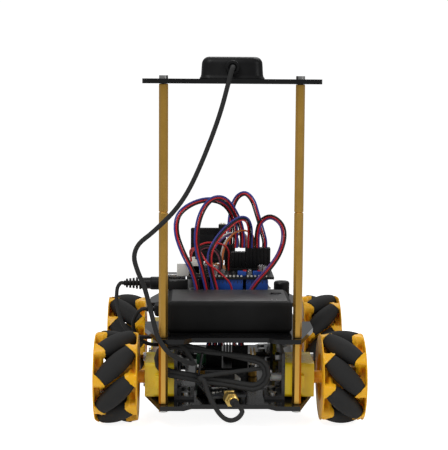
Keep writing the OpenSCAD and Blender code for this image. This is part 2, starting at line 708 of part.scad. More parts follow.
module gnss_antenna() color([0.04, 0.04, 0.04]) translate([0, antenna_y, mast_top]) {
  linear_extrude(2.5) rounded_rect(antenna_w, antenna_w, 6);
  translate([0, 0, 2.5]) hull() {
    linear_extrude(0.1) offset(5, $fn = 24) square(antenna_body - 10, center = true);
    translate([0, 0, antenna_h - 6.5]) corners(antenna_body / 2 - 5, antenna_body / 2 - 5)
      sphere(4, $fn = 24);
  }
  translate([0, -antenna_body / 2 + 2, 7]) rotate([90, 0, 0]) cylinder(d = boss_d, h = boss_out + 2);
}

module antenna_cable() color([0.06, 0.06, 0.06]) {
  tube(CABLE, cable_d);
  tube(TAIL, cable_d);
}

// The tied hank: a flat loop bundle, standing on edge behind the gearboxes
module antenna_hank() color([0.06, 0.06, 0.06]) translate(hank_at) rotate([90, hank_tilt, 0])
  linear_extrude(hank_size[2], center = true) rounded_rect(hank_size[0], hank_size[1], 11.9);

module jumper_wires() color([0.5, 0.05, 0.07]) for (j = JUMPERS) tube(j[1], j[0]);

module power_leads() color([0.05, 0.05, 0.05]) {
  tube(LEAD_A, lead_d);
  tube(LEAD_B, lead_d);
}

// ---- sensor head ----

module pan_servo() color([0.08, 0.1, 0.16]) translate([servo_x, servo_y, deck_top]) {
  bar([12, 23, servo_h], [-6, -17.5, 0]);
  bar([12, 32.5, 2.5], [-6, -22.25, 15]);
  translate([0, 0, servo_h]) cylinder(r = 5.8, h = 3);
  translate([0, 0, servo_h + 3]) cylinder(r = spline_r, h = 3);
}

module sensor_head() color([0.04, 0.04, 0.04])
  translate([servo_x, servo_y, servo_top + 3 + free_gap]) {
    // Horn plate on the servo's spline
    difference() {
      union() {
        bar([20, 14, 3.5], [-10, -7, 0]);
        bar([20, 3, 8], [-10, 4, 0]);
      }
      translate([0, 0, -e]) cylinder(r = spline_r + run_gap, h = 3 - free_gap + e);
    }
    // Back plate, the sensor's barrel in front and its socket behind
    translate([0, head_y, head_h / 2]) {
      rotate([90, 0, 0]) linear_extrude(3) rounded_rect(head_w, head_h, 6);
      rotate([-90, 0, 0]) cylinder(r = lens_r, h = lens_len);
      bar([6, 5, 10], [head_w / 2 - 6, -7.5, head_h / 2 - 6.5]);
    }
  }

// ---- build ----

lower_plate();
upper_plate();
mast_plate();
brass_standoffs();
plate_screws();
gearbox_cases();
motor_cans();
motor_brackets();
power_bank();
power_button();
gnss_antenna();
antenna_cable();
antenna_hank();
antenna_plug();
circuit_boards();
board_connectors();
jumper_wires();
power_leads();
pan_servo();
sensor_head();
for (w = WHEELS) {
  hub(w);
  axle(w);
  for (k = [1:roller_count])
    roller(w, k);
}
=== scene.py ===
"""Looks of a four-wheel mecanum robot: wiring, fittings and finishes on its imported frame."""
import math

import bmesh
import bpy
from mathutils import Matrix, Vector


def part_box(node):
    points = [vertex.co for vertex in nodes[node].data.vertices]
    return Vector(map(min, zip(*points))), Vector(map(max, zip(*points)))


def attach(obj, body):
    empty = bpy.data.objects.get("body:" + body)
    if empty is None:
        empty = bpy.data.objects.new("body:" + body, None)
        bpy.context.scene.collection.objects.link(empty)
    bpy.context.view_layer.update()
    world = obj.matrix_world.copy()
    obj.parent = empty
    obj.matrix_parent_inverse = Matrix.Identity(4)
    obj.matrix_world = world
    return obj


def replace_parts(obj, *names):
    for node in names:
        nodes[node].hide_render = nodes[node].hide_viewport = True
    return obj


MM = 0.001

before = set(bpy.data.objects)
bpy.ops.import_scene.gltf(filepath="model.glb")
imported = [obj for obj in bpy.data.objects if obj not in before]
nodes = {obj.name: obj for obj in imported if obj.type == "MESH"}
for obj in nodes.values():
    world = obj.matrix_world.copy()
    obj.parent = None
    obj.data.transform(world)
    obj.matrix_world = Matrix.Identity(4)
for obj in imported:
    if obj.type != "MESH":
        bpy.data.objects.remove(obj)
shown = bpy.context.scene
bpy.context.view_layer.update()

WHITE = (1, 1, 1, 1)
UP = (0, 0, 1)
LEFT = (-1, 0, 0)
STUDIO_AIM = (0, 0, 0.1)
FLOOR_R = 0.6
FADE_FROM, FADE_TO = 0.16, 0.55


# ---- objects, meshes and nodes ----

def put_in(name, data):
    """Makes an object in the scene."""
    made = bpy.data.objects.new(name, data)
    shown.collection.objects.link(made)
    return made


def to_mesh(bm, name):
    """Turns a bmesh into a mesh and frees it."""
    mesh = bpy.data.meshes.new(name)
    bm.to_mesh(mesh)
    bm.free()
    return mesh


def plain_result(holder):
    """The mesh that an object's modifiers give; the object itself goes."""
    ready = holder.evaluated_get(bpy.context.evaluated_depsgraph_get())
    result = bpy.data.meshes.new_from_object(ready)
    bpy.data.objects.remove(holder)
    return result


def fill_inputs(tree, node, inputs):
    """Gives each input a value, or a link from another node's output."""
    for label, source in inputs.items():
        if isinstance(source, bpy.types.NodeSocket):
            tree.links.new(source, node.inputs[label])
        else:
            node.inputs[label].default_value = source


def add_node(tree, kind, inputs, **settings):
    """Adds a node: settings on the node itself, then values or links for its inputs."""
    node = tree.nodes.new(kind)
    for key, value in settings.items():
        setattr(node, key, value)
    fill_inputs(tree, node, inputs)
    return node


def new_material(name):
    """Makes a material that has a node tree."""
    material = bpy.data.materials.new(name)
    material.use_nodes = True
    return material


# ---- camera, floor and light ----

def add_camera():
    """A long lens behind the robot, nearly as high as its mast."""
    place = Vector((-0.0244, -0.8868, 0.2240))
    yaw, pitch, roll = -0.0250, 0.1151, 0.0065
    data = bpy.data.cameras.new("camera")
    data.sensor_fit = "HORIZONTAL"
    data.sensor_width = 36
    data.lens = 102.7
    camera = put_in("camera", data)
    turn = Matrix.Rotation(yaw, 4, "Z") @ Matrix.Rotation(math.pi / 2 - pitch, 4, "X")
    camera.matrix_world = Matrix.Translation(place) @ turn @ Matrix.Rotation(roll, 4, "Z")
    shown.camera = camera


def add_area_light(name, place, size, power):
    """A soft box that looks at the middle of the robot."""
    data = bpy.data.lights.new(name, "AREA")
    data.shape = "RECTANGLE"
    data.size, data.size_y = size
    data.energy = power
    light = put_in(name, data)
    light.location = place
    aim = Vector(STUDIO_AIM) - Vector(place)
    light.rotation_euler = aim.to_track_quat("-Z", "Y").to_euler()


def add_studio():
    """White backdrop for the eye, a dimmer one for the light, and three soft boxes."""
    world = bpy.data.worlds.new("studio")
    world.use_nodes = True
    tree = world.node_tree
    seen = tree.nodes["Background"]
    fill_inputs(tree, seen, {"Color": WHITE, "Strength": 1.05})
    ambient = add_node(tree, "ShaderNodeBackground", {"Color": WHITE, "Strength": 0.3})
    by_eye = add_node(tree, "ShaderNodeLightPath", {}).outputs["Is Camera Ray"]
    mix = add_node(tree, "ShaderNodeMixShader",
                   {0: by_eye, 1: ambient.outputs[0], 2: seen.outputs[0]})
    fill_inputs(tree, tree.nodes["World Output"], {"Surface": mix.outputs[0]})
    shown.world = world
    shown.view_settings.view_transform = "Standard"
    add_area_light("key_light", (-0.7, -0.9, 1.6), (0.8, 0.6), 15)
    add_area_light("fill_light", (1.2, -1.0, 0.8), (0.7, 0.7), 5)
    add_area_light("rim_light", (0.3, 1.2, 1.5), (1.2, 0.6), 10)


def add_floor():
    """A paper disc that glows more for the eye than for the light, and fades at its edge."""
    bm = bmesh.new()
    bmesh.ops.create_circle(bm, cap_ends=True, segments=64, radius=FLOOR_R)
    floor = put_in("floor", to_mesh(bm, "floor"))
    paper = new_material("floor_paper")
    tree = paper.node_tree
    by_eye = add_node(tree, "ShaderNodeLightPath", {}).outputs["Is Camera Ray"]
    glow = add_node(tree, "ShaderNodeMapRange", {"Value": by_eye, "To Min": 0.15, "To Max": 0.9})
    place = add_node(tree, "ShaderNodeTexCoord", {}).outputs["Object"]
    away = add_node(tree, "ShaderNodeVectorMath", {0: place}, operation="LENGTH")
    fade = add_node(tree, "ShaderNodeMapRange",
                    {"Value": away.outputs["Value"], "From Min": FADE_FROM, "From Max": FADE_TO,
                     "To Min": 1, "To Max": 0})
    fill_inputs(tree, tree.nodes["Principled BSDF"],
                {"Base Color": (0.8, 0.8, 0.8, 1), "Roughness": 0.9, "Specular IOR Level": 0.0,
                 "Emission Color": WHITE, "Emission Strength": glow.outputs["Result"],
                 "Alpha": fade.outputs["Result"]})
    floor.data.materials.append(paper)


# ---- shader groups and finishes ----

def new_group(name, inputs, outputs):
    """A shader group; inputs are (name, socket kind, first value), outputs (name, kind)."""
    tree = bpy.data.node_groups.new(name, "ShaderNodeTree")
    for label, kind, value in inputs:
        socket = tree.interface.new_socket(label, in_out="INPUT", socket_type="NodeSocket" + kind)
        socket.default_value = value
    for label, kind in outputs:
        tree.interface.new_socket(label, in_out="OUTPUT", socket_type="NodeSocket" + kind)
    return tree, tree.nodes.new("NodeGroupInput").outputs, tree.nodes.new("NodeGroupOutput")


def texture_noise(tree, place, scale, detail=3.0):
    """Noise at a place, whose scale comes from a socket."""
    return add_node(tree, "ShaderNodeTexNoise", {"Vector": place, "Scale": scale, "Detail": detail,
                                                 "Roughness": 0.55}).outputs["Fac"]


def spread(tree, value, low, high, from_low=0.3, from_high=0.7):
    """Maps a noise value to a range; low and high are sockets or numbers."""
    return add_node(tree, "ShaderNodeMapRange",
                    {"Value": value, "From Min": from_low, "From Max": from_high,
                     "To Min": low, "To Max": high}).outputs["Result"]


def make_surface_group():
    """Colour that drifts a little, roughness with smudges, and a fine grain height."""
    tree, given, end = new_group(
        "surface_drift",
        [("Colour", "Color", (0.5, 0.5, 0.5, 1)), ("Worn colour", "Color", (0.6, 0.6, 0.6, 1)),
         ("Drift scale", "Float", 40.0), ("Grain scale", "Float", 900.0),
         ("Low roughness", "Float", 0.3), ("High roughness", "Float", 0.45)],
        [("Colour", "Color"), ("Roughness", "Float"), ("Height", "Float")])
    place = add_node(tree, "ShaderNodeTexCoord", {}).outputs["Object"]
    drift = texture_noise(tree, place, given["Drift scale"])
    grain = texture_noise(tree, place, given["Grain scale"], 2.0)
    colour = add_node(tree, "ShaderNodeMix",
                      {"Factor": spread(tree, drift, 0.0, 1.0), 6: given["Colour"],
                       7: given["Worn colour"]}, data_type="RGBA")
    smudge = add_node(tree, "ShaderNodeMath", {0: grain, 1: 0.35, 2: drift},
                      operation="MULTIPLY_ADD")
    rough = spread(tree, smudge.outputs[0], given["Low roughness"], given["High roughness"],
                   0.45, 0.9)
    fill_inputs(tree, end, {"Colour": colour.outputs[2], "Roughness": rough, "Height": grain})
    return tree


SURFACE = make_surface_group()


def lighter(colour, share):
    """The colour moved towards white by that share."""
    return tuple(c + (1 - c) * share for c in colour[:3]) + (1,)


def finish_of(name, colour, rough, metal=0.0, coat=0.0, grain=0.0, drift=0.06, drift_scale=40.0,
              grain_scale=900.0, subsurface=0.0, gloss=0.5, transmission=0.0):
    """A finish: its drifting colour, a roughness range, and the depth of its grain in metres."""
    material = new_material(name)
    tree = material.node_tree
    group = add_node(tree, "ShaderNodeGroup",
                     {"Colour": (*colour, 1), "Worn colour": lighter(colour, drift),
                      "Drift scale": drift_scale, "Grain scale": grain_scale,
                      "Low roughness": rough[0], "High roughness": rough[1]}, node_tree=SURFACE)
    inputs = {"Base Color": group.outputs["Colour"], "Roughness": group.outputs["Roughness"],
              "Metallic": metal, "Coat Weight": coat, "Coat Roughness": 0.06,
              "Specular IOR Level": gloss}
    if transmission:
        inputs["Transmission Weight"] = transmission
    if subsurface:
        inputs.update({"Subsurface Weight": subsurface, "Subsurface Scale": 0.004})
    if grain:
        bump = add_node(tree, "ShaderNodeBump",
                        {"Distance": grain, "Height": group.outputs["Height"]})
        inputs["Normal"] = bump.outputs["Normal"]
    fill_inputs(tree, tree.nodes["Principled BSDF"], inputs)
    return material


# Finishes that are a packed material, as it is
PACKED_FINISH = {"tyre": "roller_rubber", "cable": "cable_jacket", "gold": "gold_plating",
                 "servo": "servo_case"}


def make_finishes():
    """Every finish by the name that pieces ask for it with."""
    f = finish_of
    return {
        **{kind: bpy.data.materials[name] for kind, name in PACKED_FINISH.items()},
        "acrylic": f("black_acrylic", (0.004, 0.004, 0.0045), (0.08, 0.2), drift=0.006,
                     drift_scale=25, grain=0.00001, grain_scale=60, gloss=0.4),
        "brass": f("turned_brass", (0.8, 0.46, 0.09), (0.3, 0.42), metal=1.0, drift=0.02,
                   drift_scale=90, grain=0.000005, grain_scale=1500),
        "steel": f("zinc_steel", (0.5, 0.5, 0.49), (0.2, 0.38), metal=1.0, drift=0.12,
                   grain=0.00002),
        "dark_steel": f("dark_steel", (0.07, 0.07, 0.075), (0.3, 0.5), metal=1.0, drift=0.04),
        "bracket": f("blackened_steel", (0.035, 0.035, 0.038), (0.25, 0.42), drift=0.05,
                     grain=0.00003),
        "yellow_case": f("gearbox_yellow", (0.9, 0.66, 0.012), (0.2, 0.34), coat=0.15, drift=0.04,
                         grain=0.00003, subsurface=0.1, gloss=0.35),
        "hub": f("hub_yellow", (1.0, 0.5, 0.005), (0.3, 0.45), drift=0.03, grain=0.00003,
                 subsurface=0.1, gloss=0.35),
        "white_nylon": f("white_nylon", (0.72, 0.71, 0.66), (0.3, 0.45), drift=0.1,
                         subsurface=0.2),
        "bank": f("bank_plastic", (0.006, 0.006, 0.006), (0.45, 0.6), drift=0.006, grain=0.00003,
                  grain_scale=1600, gloss=0.14),
        "bank_top": f("bank_top_plastic", (0.018, 0.018, 0.018), (0.34, 0.5), drift=0.02,
                      grain=0.00003, grain_scale=1300),
        "black": f("black_plastic", (0.005, 0.005, 0.0055), (0.36, 0.52), drift=0.008,
                   grain=0.00003, grain_scale=1200, gloss=0.22),
        "antenna": f("antenna_plastic", (0.006, 0.006, 0.0065), (0.36, 0.5), drift=0.01,
                     grain=0.00004, grain_scale=1400, gloss=0.16),
        "silver": f("tin_plating", (0.4, 0.4, 0.4), (0.16, 0.34), metal=1.0, drift=0.1,
                    drift_scale=200),
        "board": f("black_board", (0.006, 0.008, 0.010), (0.25, 0.4), drift=0.02,
                   drift_scale=120, grain=0.00002, gloss=0.4),
        "blue_plastic": f("blue_header", (0.006, 0.075, 0.42), (0.3, 0.42), drift=0.03, gloss=0.3),
        "white_plastic": f("white_connector", (0.74, 0.73, 0.67), (0.32, 0.46), drift=0.1),
        "green_plastic": f("green_terminal", (0.02, 0.22, 0.08), (0.3, 0.45), drift=0.06),
        "wire_black": f("wire_black", (0.007, 0.006, 0.008), (0.28, 0.4), drift=0.02, gloss=0.3),
        "wire_red": f("wire_red", (0.62, 0.012, 0.02), (0.26, 0.38), drift=0.03, gloss=0.3),
        "wire_crimson": f("wire_crimson", (0.16, 0.008, 0.03), (0.26, 0.38), drift=0.05),
        "wire_blue": f("wire_blue", (0.04, 0.05, 0.32), (0.26, 0.38), drift=0.03, gloss=0.3),
        "wire_purple": f("wire_purple", (0.12, 0.035, 0.26), (0.26, 0.38), drift=0.05),
        "wire_orange": f("wire_orange", (0.66, 0.16, 0.015), (0.26, 0.38), drift=0.05),
        "wire_white": f("wire_white", (0.7, 0.7, 0.68), (0.28, 0.4), drift=0.1),
        "clear": f("clear_resin", (0.9, 0.92, 0.93), (0.05, 0.12), drift=0.0, transmission=0.85),
        "orange_resin": f("tantalum_orange", (0.62, 0.22, 0.03), (0.25, 0.4), drift=0.1),
        "lens": f("lens_glass", (0.01, 0.01, 0.012), (0.03, 0.08), coat=1.0, drift=0.0)}


# ---- making meshes ----

def add_piece(name, mesh, finish, body="chassis"):
    """Makes an object at the origin from a mesh, and lets it ride on a body."""
    piece = put_in(name, mesh)
    if finish:
        mesh.materials.append(FINISH[finish])
    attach(piece, body)
    return piece


def mesh_from(bm, name, smooth=30):
    """Turns a bmesh into a mesh whose edges flatter than smooth degrees look round."""
    bmesh.ops.remove_doubles(bm, verts=bm.verts, dist=1e-7)
    bmesh.ops.recalc_face_normals(bm, faces=bm.faces)
    for face in bm.faces:
        face.smooth = True
    for edge in bm.edges:
        if len(edge.link_faces) == 2:
            edge.smooth = edge.calc_face_angle(0) < math.radians(smooth)
    return to_mesh(bm, name)


def add_block(bm, size, centre, round_by=0.0, turn=None, steps=2):
    """A box with rounded edges, in millimetres."""
    made = bmesh.ops.create_cube(bm, size=1.0)["verts"]
    scale = Matrix.Diagonal((*[s * MM for s in size], 1))
    place = Matrix.Translation([c * MM for c in centre]) @ (turn or Matrix.Identity(4))
    bmesh.ops.transform(bm, matrix=place @ scale, verts=made)
    if round_by:
        edges = {e for v in made for e in v.link_edges}
        bmesh.ops.bevel(bm, geom=list(edges), offset=round_by * MM, segments=steps,
                        affect="EDGES", profile=0.5, clamp_overlap=True)


def add_lathe(bm, outline, place, steps=24):
    """Turns (radius, height) points in millimetres about a line; place puts Z on that line.

    An outline that ends where it starts makes a ring."""
    rings = []
    hoop = outline[0] == outline[-1]
    for radius, height in outline[:-1] if hoop else outline:
        if radius < 1e-6:
            rings.append([bm.verts.new(place @ Vector((0, 0, height * MM)))])
            continue
        ring = []
        for k in range(steps):
            a = math.tau * k / steps
            point = Vector((radius * math.cos(a), radius * math.sin(a), height)) * MM
            ring.append(bm.verts.new(place @ point))
        rings.append(ring)
    for low, high in zip(rings, rings[1:] + rings[:1] if hoop else rings[1:]):
        for k in range(steps):
            a, b = low[k % len(low)], low[(k + 1) % len(low)]
            c, d = high[(k + 1) % len(high)], high[k % len(high)]
            corners = list(dict.fromkeys((a, b, c, d)))
            if len(corners) > 2:
                bm.faces.new(corners)
    for ring in (rings[0], rings[-1]):
        if len(ring) > 1 and not hoop:
            bm.faces.new(ring)


def pointing(at, direction):
    """A matrix that puts Z along a direction at a point in millimetres."""
    turn = Vector(direction).normalized().to_track_quat("Z", "Y").to_matrix().to_4x4()
    return Matrix.Translation(Vector(at) * MM) @ turn


def blocks(name, parts, finish, round_by=0.3):
    """One piece from several rounded blocks, each (size, centre)."""
    bm = bmesh.new()
    for size, centre in parts:
        add_block(bm, size, centre, min(round_by, min(size) * 0.3))
    return add_piece(name, mesh_from(bm, name), finish)


def lathes(name, parts, finish, steps=20, body="chassis", smooth=30):
    """One piece from several turned shapes, each (outline, place, direction)."""
    bm = bmesh.new()
    for outline, at, direction in parts:
        add_lathe(bm, outline, pointing(at, direction), steps)
    return add_piece(name, mesh_from(bm, name, smooth), finish, body)


def smooth_path(points, per_span):
    """Points along a smooth curve through the given ones, in the same units."""
    pts = [Vector(p) for p in points]
    path = []
    for i in range(len(pts) - 1):
        a, b = pts[max(i - 1, 0)], pts[i]
        c, d = pts[i + 1], pts[min(i + 2, len(pts) - 1)]
        for k in range(per_span):
            t = k / per_span
            path.append(0.5 * ((2 * b) + (c - a) * t + (2 * a - 5 * b + 4 * c - d) * t * t
                               + (3 * b - a - 3 * c + d) * t * t * t))
    path.append(pts[-1])
    return path


def length_of(points):
    """Length in metres of a line through points in millimetres."""
    return sum((b - a).length for a, b in zip(points, points[1:])) * MM


def add_wire(name, points, diameter, finish):
    """A round wire along points in millimetres, as one curve."""
    data = bpy.data.curves.new(name, "CURVE")
    data.dimensions = "3D"
    data.bevel_depth = diameter * MM / 2
    data.bevel_resolution = 3
    data.use_fill_caps = True
    line = data.splines.new("POLY")
    line.points.add(len(points) - 1)
    for dot, point in zip(line.points, points):
        dot.co = (*(Vector(point) * MM), 1)
    line.use_smooth = True
    data.materials.append(FINISH[finish])
    wire = put_in(name, data)
    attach(wire, "chassis")
    return wire


# ---- cords ----

CABLE_D = 3.0
LEAD_D = 2.6

# Antenna cable, from the antenna's boss down to the tie of its hank
CABLE = [
    (0, -99.5, 230), (0, -102.5, 230), (-1, -106.5, 227.5), (-3, -109, 220), (-7, -110, 205),
    (-12, -110, 190), (-19, -110, 172), (-27, -110, 155), (-36, -110, 142), (-48, -109, 130),
    (-57, -108, 122), (-60, -107, 114), (-58, -106, 105), (-54, -105, 95), (-51, -105, 84),
    (-48, -105, 72), (-45, -104, 62), (-39, -102, 53), (-31, -97, 47), (-25, -91, 43.5),
    (-21.5, -86, 42)]
# From the tie to the plug
TAIL = [
    (-17, -87, 34), (-15.5, -93, 29.5), (-13.5, -99, 25), (-10.5, -105.5, 20.5), (-7.5, -112, 17),
    (-4, -118, 15), (0, -122.5, 15), (4, -124, 17), (6.6, -121.5, 19.8), (5.8, -116.5, 21.2),
    (4.5, -112, 21.2), (3.1, -107, 21.2)]
HANK_SIZE = (76, 24, 5)
HANK_AT = Vector((-11, -84, 40))
HANK_TILT = math.radians(10)
HANK_TURNS = 4
TURN_STEPS = 32
LAYER_STEPS = 8
LAYER_IN = 2.6

# Leads, from the round plug and from the power bank's plug to the driver's terminal
LEAD_A = [
    (-71.5, -12, 82.2), (-73.7, -12, 82.2), (-75.8, -12.5, 79.4), (-76.4, -14, 75),
    (-76.3, -16.5, 70), (-75, -20, 64.5), (-73, -23.5, 58.5), (-70, -26.5, 53.5),
    (-65.5, -28, 49.5), (-59, -28, 47.5), (-50, -24, 47), (-42, -14, 45), (-34, -6, 37),
    (-28, -1.5, 30.5), (-24, -1, 28.6), (-21, -1, 28.6)]
LEAD_B = [
    (-54.5, -45, 70), (-57.5, -45, 70), (-61, -44, 67), (-63.5, -42.5, 61.5), (-63.5, -41, 56),
    (-61.5, -39, 50.5), (-57.5, -37, 46.5), (-52, -35, 44), (-46, -31, 43), (-40, -22, 42.5),
    (-33, -14.5, 38), (-28, -7.5, 31), (-24, -6, 28.6), (-21, -6, 28.6)]

# Jumper ribbons: wire colours in order across, and the points of their middle line
RIBBONS = {
    "left_arc": (("black", "red", "blue"), [
        (-12.6, -15.5, 39), (-12.6, -15.5, 43), (-17, -21, 53), (-20, -23, 62), (-20, -23, 76),
        (-24, -24, 92), (-30, -25, 104), (-35, -24, 118), (-34, -21, 130), (-26, -16, 137),
        (-15, -10, 140), (-5, -4, 138), (2, 3, 131), (6, 8, 119), (6, 8, 104.2)]),
    "middle_arc": (("black", "red", "blue"), [
        (-8.6, -15.5, 39), (-8.6, -15.5, 43), (-11, -21, 53), (-13.5, -23, 62), (-13.5, -23, 76),
        (-17, -24, 92), (-20.5, -25, 106), (-21.5, -25.5, 117), (-19.5, -25, 129), (-15, -23, 138),
        (-9, -18, 142), (-2, -10, 140.5), (4, -2, 133), (9.5, 5, 121), (11, 8, 112),
        (11, 8, 104.2)]),
    "inner_arc": (("red", "black", "blue"), [
        (-4.6, -15.5, 39), (-4.6, -15.5, 43), (-5.5, -21, 53), (-7, -23, 62), (-7.5, -23, 76),
        (-11.5, -23, 92), (-12.5, -23, 103), (-9.5, -21, 111), (-4, -16, 118), (3, -11, 124),
        (9.5, -7, 127), (14, -2, 125), (16.2, 4, 119), (16.5, 8, 112), (16.5, 8, 104.2)]),
    "right_arc": (("black", "red", "purple"), [
        (10, -15.5, 39), (10, -15.5, 43), (13, -21, 53), (15, -23, 62), (15, -23, 76),
        (20, -24, 85), (28, -23, 94), (35, -18, 103), (39, -10, 113), (38, -3, 122),
        (31, 4, 127), (24, 7.5, 123), (21.5, 8, 114), (21.5, 8, 104.2)]),
    "high_arc": (("blue", "red", "black"), [
        (27, 12.5, 104.2), (27, 12.5, 109), (24.5, 12.5, 118), (21.5, 13, 128), (18.5, 15, 137),
        (13.5, 19, 142), (8, 24, 139), (4.5, 28, 131), (2.8, 28.3, 120), (2.8, 28.3, 104.2)]),
    "single": (("red",), [
        (-25, -0.5, 93.7), (-25, -0.5, 97), (-26, -6, 104), (-22, -14, 107), (-18, -20, 104),
        (-15.8, -25, 100.5), (-13, -27.5, 97.5), (-8, -27.5, 94), (-3, -27, 89.5), (1, -25.5, 85),
        (3, -23.5, 79), (4, -23, 70), (4, -22, 60), (4.5, -19, 50), (5, -15.5, 43),
        (5, -15.5, 39)]),
    "orange": (("orange",), [
        (-3, 2, 92.5), (-3.2, 2, 96), (-2.5, 4, 103), (2, 6, 112), (8, 6, 116.5), (14, 6.5, 116.5),
        (18.5, 8, 113), (19, 10, 108.5), (19, 10.5, 104.2)]),
    "orange_far": (("orange", "white"), [
        (-3.2, 10, 93), (-3.4, 10.5, 98), (-1, 11.5, 107), (5, 12.5, 113), (12, 13, 113.5),
        (14, 12.5, 110), (14, 12, 107), (14, 12, 104.2)]),
    "short_arc": (("crimson", "black"), [
        (-21, 11.5, 93.7), (-21, 11.5, 97), (-19, 7, 103), (-13, 1, 106), (-7, -3, 103),
        (-4.5, -5, 97), (-4.5, -5, 90)]),
    "sweep": (("red",), [
        (-25, 23, 93.7), (-25, 23, 97), (-23, 17, 102), (-16, 8, 107.5), (-8, 3, 108.5),
        (-1, 4, 106), (1.5, 7, 101), (1.5, 9, 95), (1.5, 9, 88)]),
    "purple_arc": (("purple", "white"), [
        (-13, 9, 93), (-13, 9.5, 96), (-9, 10, 104), (-3, 12, 111), (4, 12.6, 114),
        (7.5, 12, 110), (8, 12, 104.2)]),
}
WIRE_D = 1.3
WIRE_STEP = 1.27


def hank_turn_points():
    """Centre line of the hank's turns: a flat racetrack, in two layers a cable apart."""
    half = (HANK_SIZE[0] - HANK_SIZE[1]) / 2
    tilt_cos, tilt_sin = math.cos(HANK_TILT), math.sin(HANK_TILT)
    points = []
    for turn in range(HANK_TURNS):
        for k in range(TURN_STEPS):
            share = (turn * TURN_STEPS + k) / (HANK_TURNS * TURN_STEPS)
            settled = min(1, k / LAYER_STEPS)
            if turn % 2:
                inward = LAYER_IN * settled
            else:
                inward = LAYER_IN * (1 - settled) if turn else 0
            r = HANK_SIZE[1] / 2 - CABLE_D / 2 - inward
            s = k / TURN_STEPS
            if s < 0.3:
                x, z = half * (1 - 2 * s / 0.3), r
            elif s < 0.5:
                a = math.pi / 2 + math.pi * (s - 0.3) / 0.2
                x, z = -half + r * math.cos(a), r * math.sin(a)
            elif s < 0.8:
                x, z = half * (2 * (s - 0.5) / 0.3 - 1), -r
            else:
                a = -math.pi / 2 + math.pi * (s - 0.8) / 0.2
                x, z = half + r * math.cos(a), r * math.sin(a)
            y = -1.4 + 2.8 * share
            points.append(HANK_AT + Vector((x * tilt_cos + z * tilt_sin, y,
                                            z * tilt_cos - x * tilt_sin)))
    return points


def add_antenna_cable():
    """One cable: down from the antenna, four turns in the hank, and out to the plug."""
    down = smooth_path(CABLE, 4)
    turns = hank_turn_points()
    out = smooth_path(TAIL, 4)
    start = min(range(TURN_STEPS), key=lambda k: (turns[k] - down[-1]).length)
    line = down[:-3] + smooth_path([down[-3], turns[start + 2], turns[start + 4]], 4)
    line += turns[start + 5:-2] + smooth_path([turns[-2], out[0], out[2]], 4) + out[3:]
    cable = add_wire("antenna_lead", line, CABLE_D, "cable")
    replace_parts(cable, "antenna_cable", "antenna_hank")
    return cable, length_of(line)


def add_leads():
    """The round plug's lead and the power bank's lead."""
    for name, route in (("jack_lead", LEAD_A), ("bank_lead", LEAD_B)):
        line = smooth_path(route, 4)
        lead = add_wire(name, line, LEAD_D, "cable")
        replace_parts(lead, "power_leads")


def add_ribbons():
    """Each ribbon's wires run side by side, spread across its bends."""
    for name, (colours, route) in RIBBONS.items():
        line = smooth_path(route, 4)
        for k, colour in enumerate(colours):
            off = (k - (len(colours) - 1) / 2) * WIRE_STEP
            points = []
            for i, p in enumerate(line):
                ahead = (line[min(i + 1, len(line) - 1)] - line[max(i - 1, 0)]).normalized()
                across = ahead.cross(Vector((0, 1, 0.15))).normalized()
                loose = min(i, len(line) - 1 - i, 6) / 6
                points.append(p + across * (off + 0.05 * loose * math.sin(i * 0.7 + 2 * k)))
            points = [points[0]] + [(a + b * 2 + c) / 4 for a, b, c
                                    in zip(points, points[1:], points[2:])] + [points[-1]]
            wire = add_wire(f"{name}_{colour}", points, WIRE_D, "wire_" + colour)
            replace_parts(wire, "jumper_wires")


# ---- rows and copies, as node trees ----

def socket_ids(tree):
    """The keys a modifier knows a tree's inputs by."""
    return {item.name: item.identifier for item in tree.interface.items_tree
            if item.item_type == "SOCKET" and item.in_out == "INPUT"}


def new_geometry_tree(name, inputs):
    """A geometry tree with named inputs; gives the tree, its input sockets and its end node."""
    tree = bpy.data.node_groups.new(name, "GeometryNodeTree")
    tree.interface.new_socket("Geometry", in_out="INPUT", socket_type="NodeSocketGeometry")
    for label, kind in inputs:
        tree.interface.new_socket(label, in_out="INPUT", socket_type="NodeSocket" + kind)
    tree.interface.new_socket("Geometry", in_out="OUTPUT", socket_type="NodeSocketGeometry")
    return tree, tree.nodes.new("NodeGroupInput").outputs, tree.nodes.new("NodeGroupOutput")


def end_with_finish(tree, shape, finish, end):
    """Makes instances real and gives the shape its finish."""
    real = add_node(tree, "GeometryNodeRealizeInstances", {"Geometry": shape})
    paint = add_node(tree, "GeometryNodeSetMaterial",
                     {"Geometry": real.outputs["Geometry"], "Material": finish})
    fill_inputs(tree, end, {"Geometry": paint.outputs["Geometry"]})
    return tree


def make_grid_tree():
    """Bars on a grid: pins, contacts, slots, fins or ribs."""
    tree, given, end = new_geometry_tree("grid_of_bars", [
        ("Count across", "Int"), ("Count along", "Int"), ("Width", "Float"), ("Length", "Float"),
        ("Bar", "Vector"), ("Centre", "Vector"), ("Finish", "Material")])
    grid = add_node(tree, "GeometryNodeMeshGrid",
                    {"Vertices X": given["Count across"], "Vertices Y": given["Count along"],
                     "Size X": given["Width"], "Size Y": given["Length"]})
    move = add_node(tree, "GeometryNodeSetPosition",
                    {"Geometry": grid.outputs["Mesh"], "Offset": given["Centre"]})
    bar = add_node(tree, "GeometryNodeMeshCube", {"Size": given["Bar"]})
    copies = add_node(tree, "GeometryNodeInstanceOnPoints",
                      {"Points": move.outputs["Geometry"], "Instance": bar.outputs["Mesh"]})
    return end_with_finish(tree, copies.outputs["Instances"], given["Finish"], end)


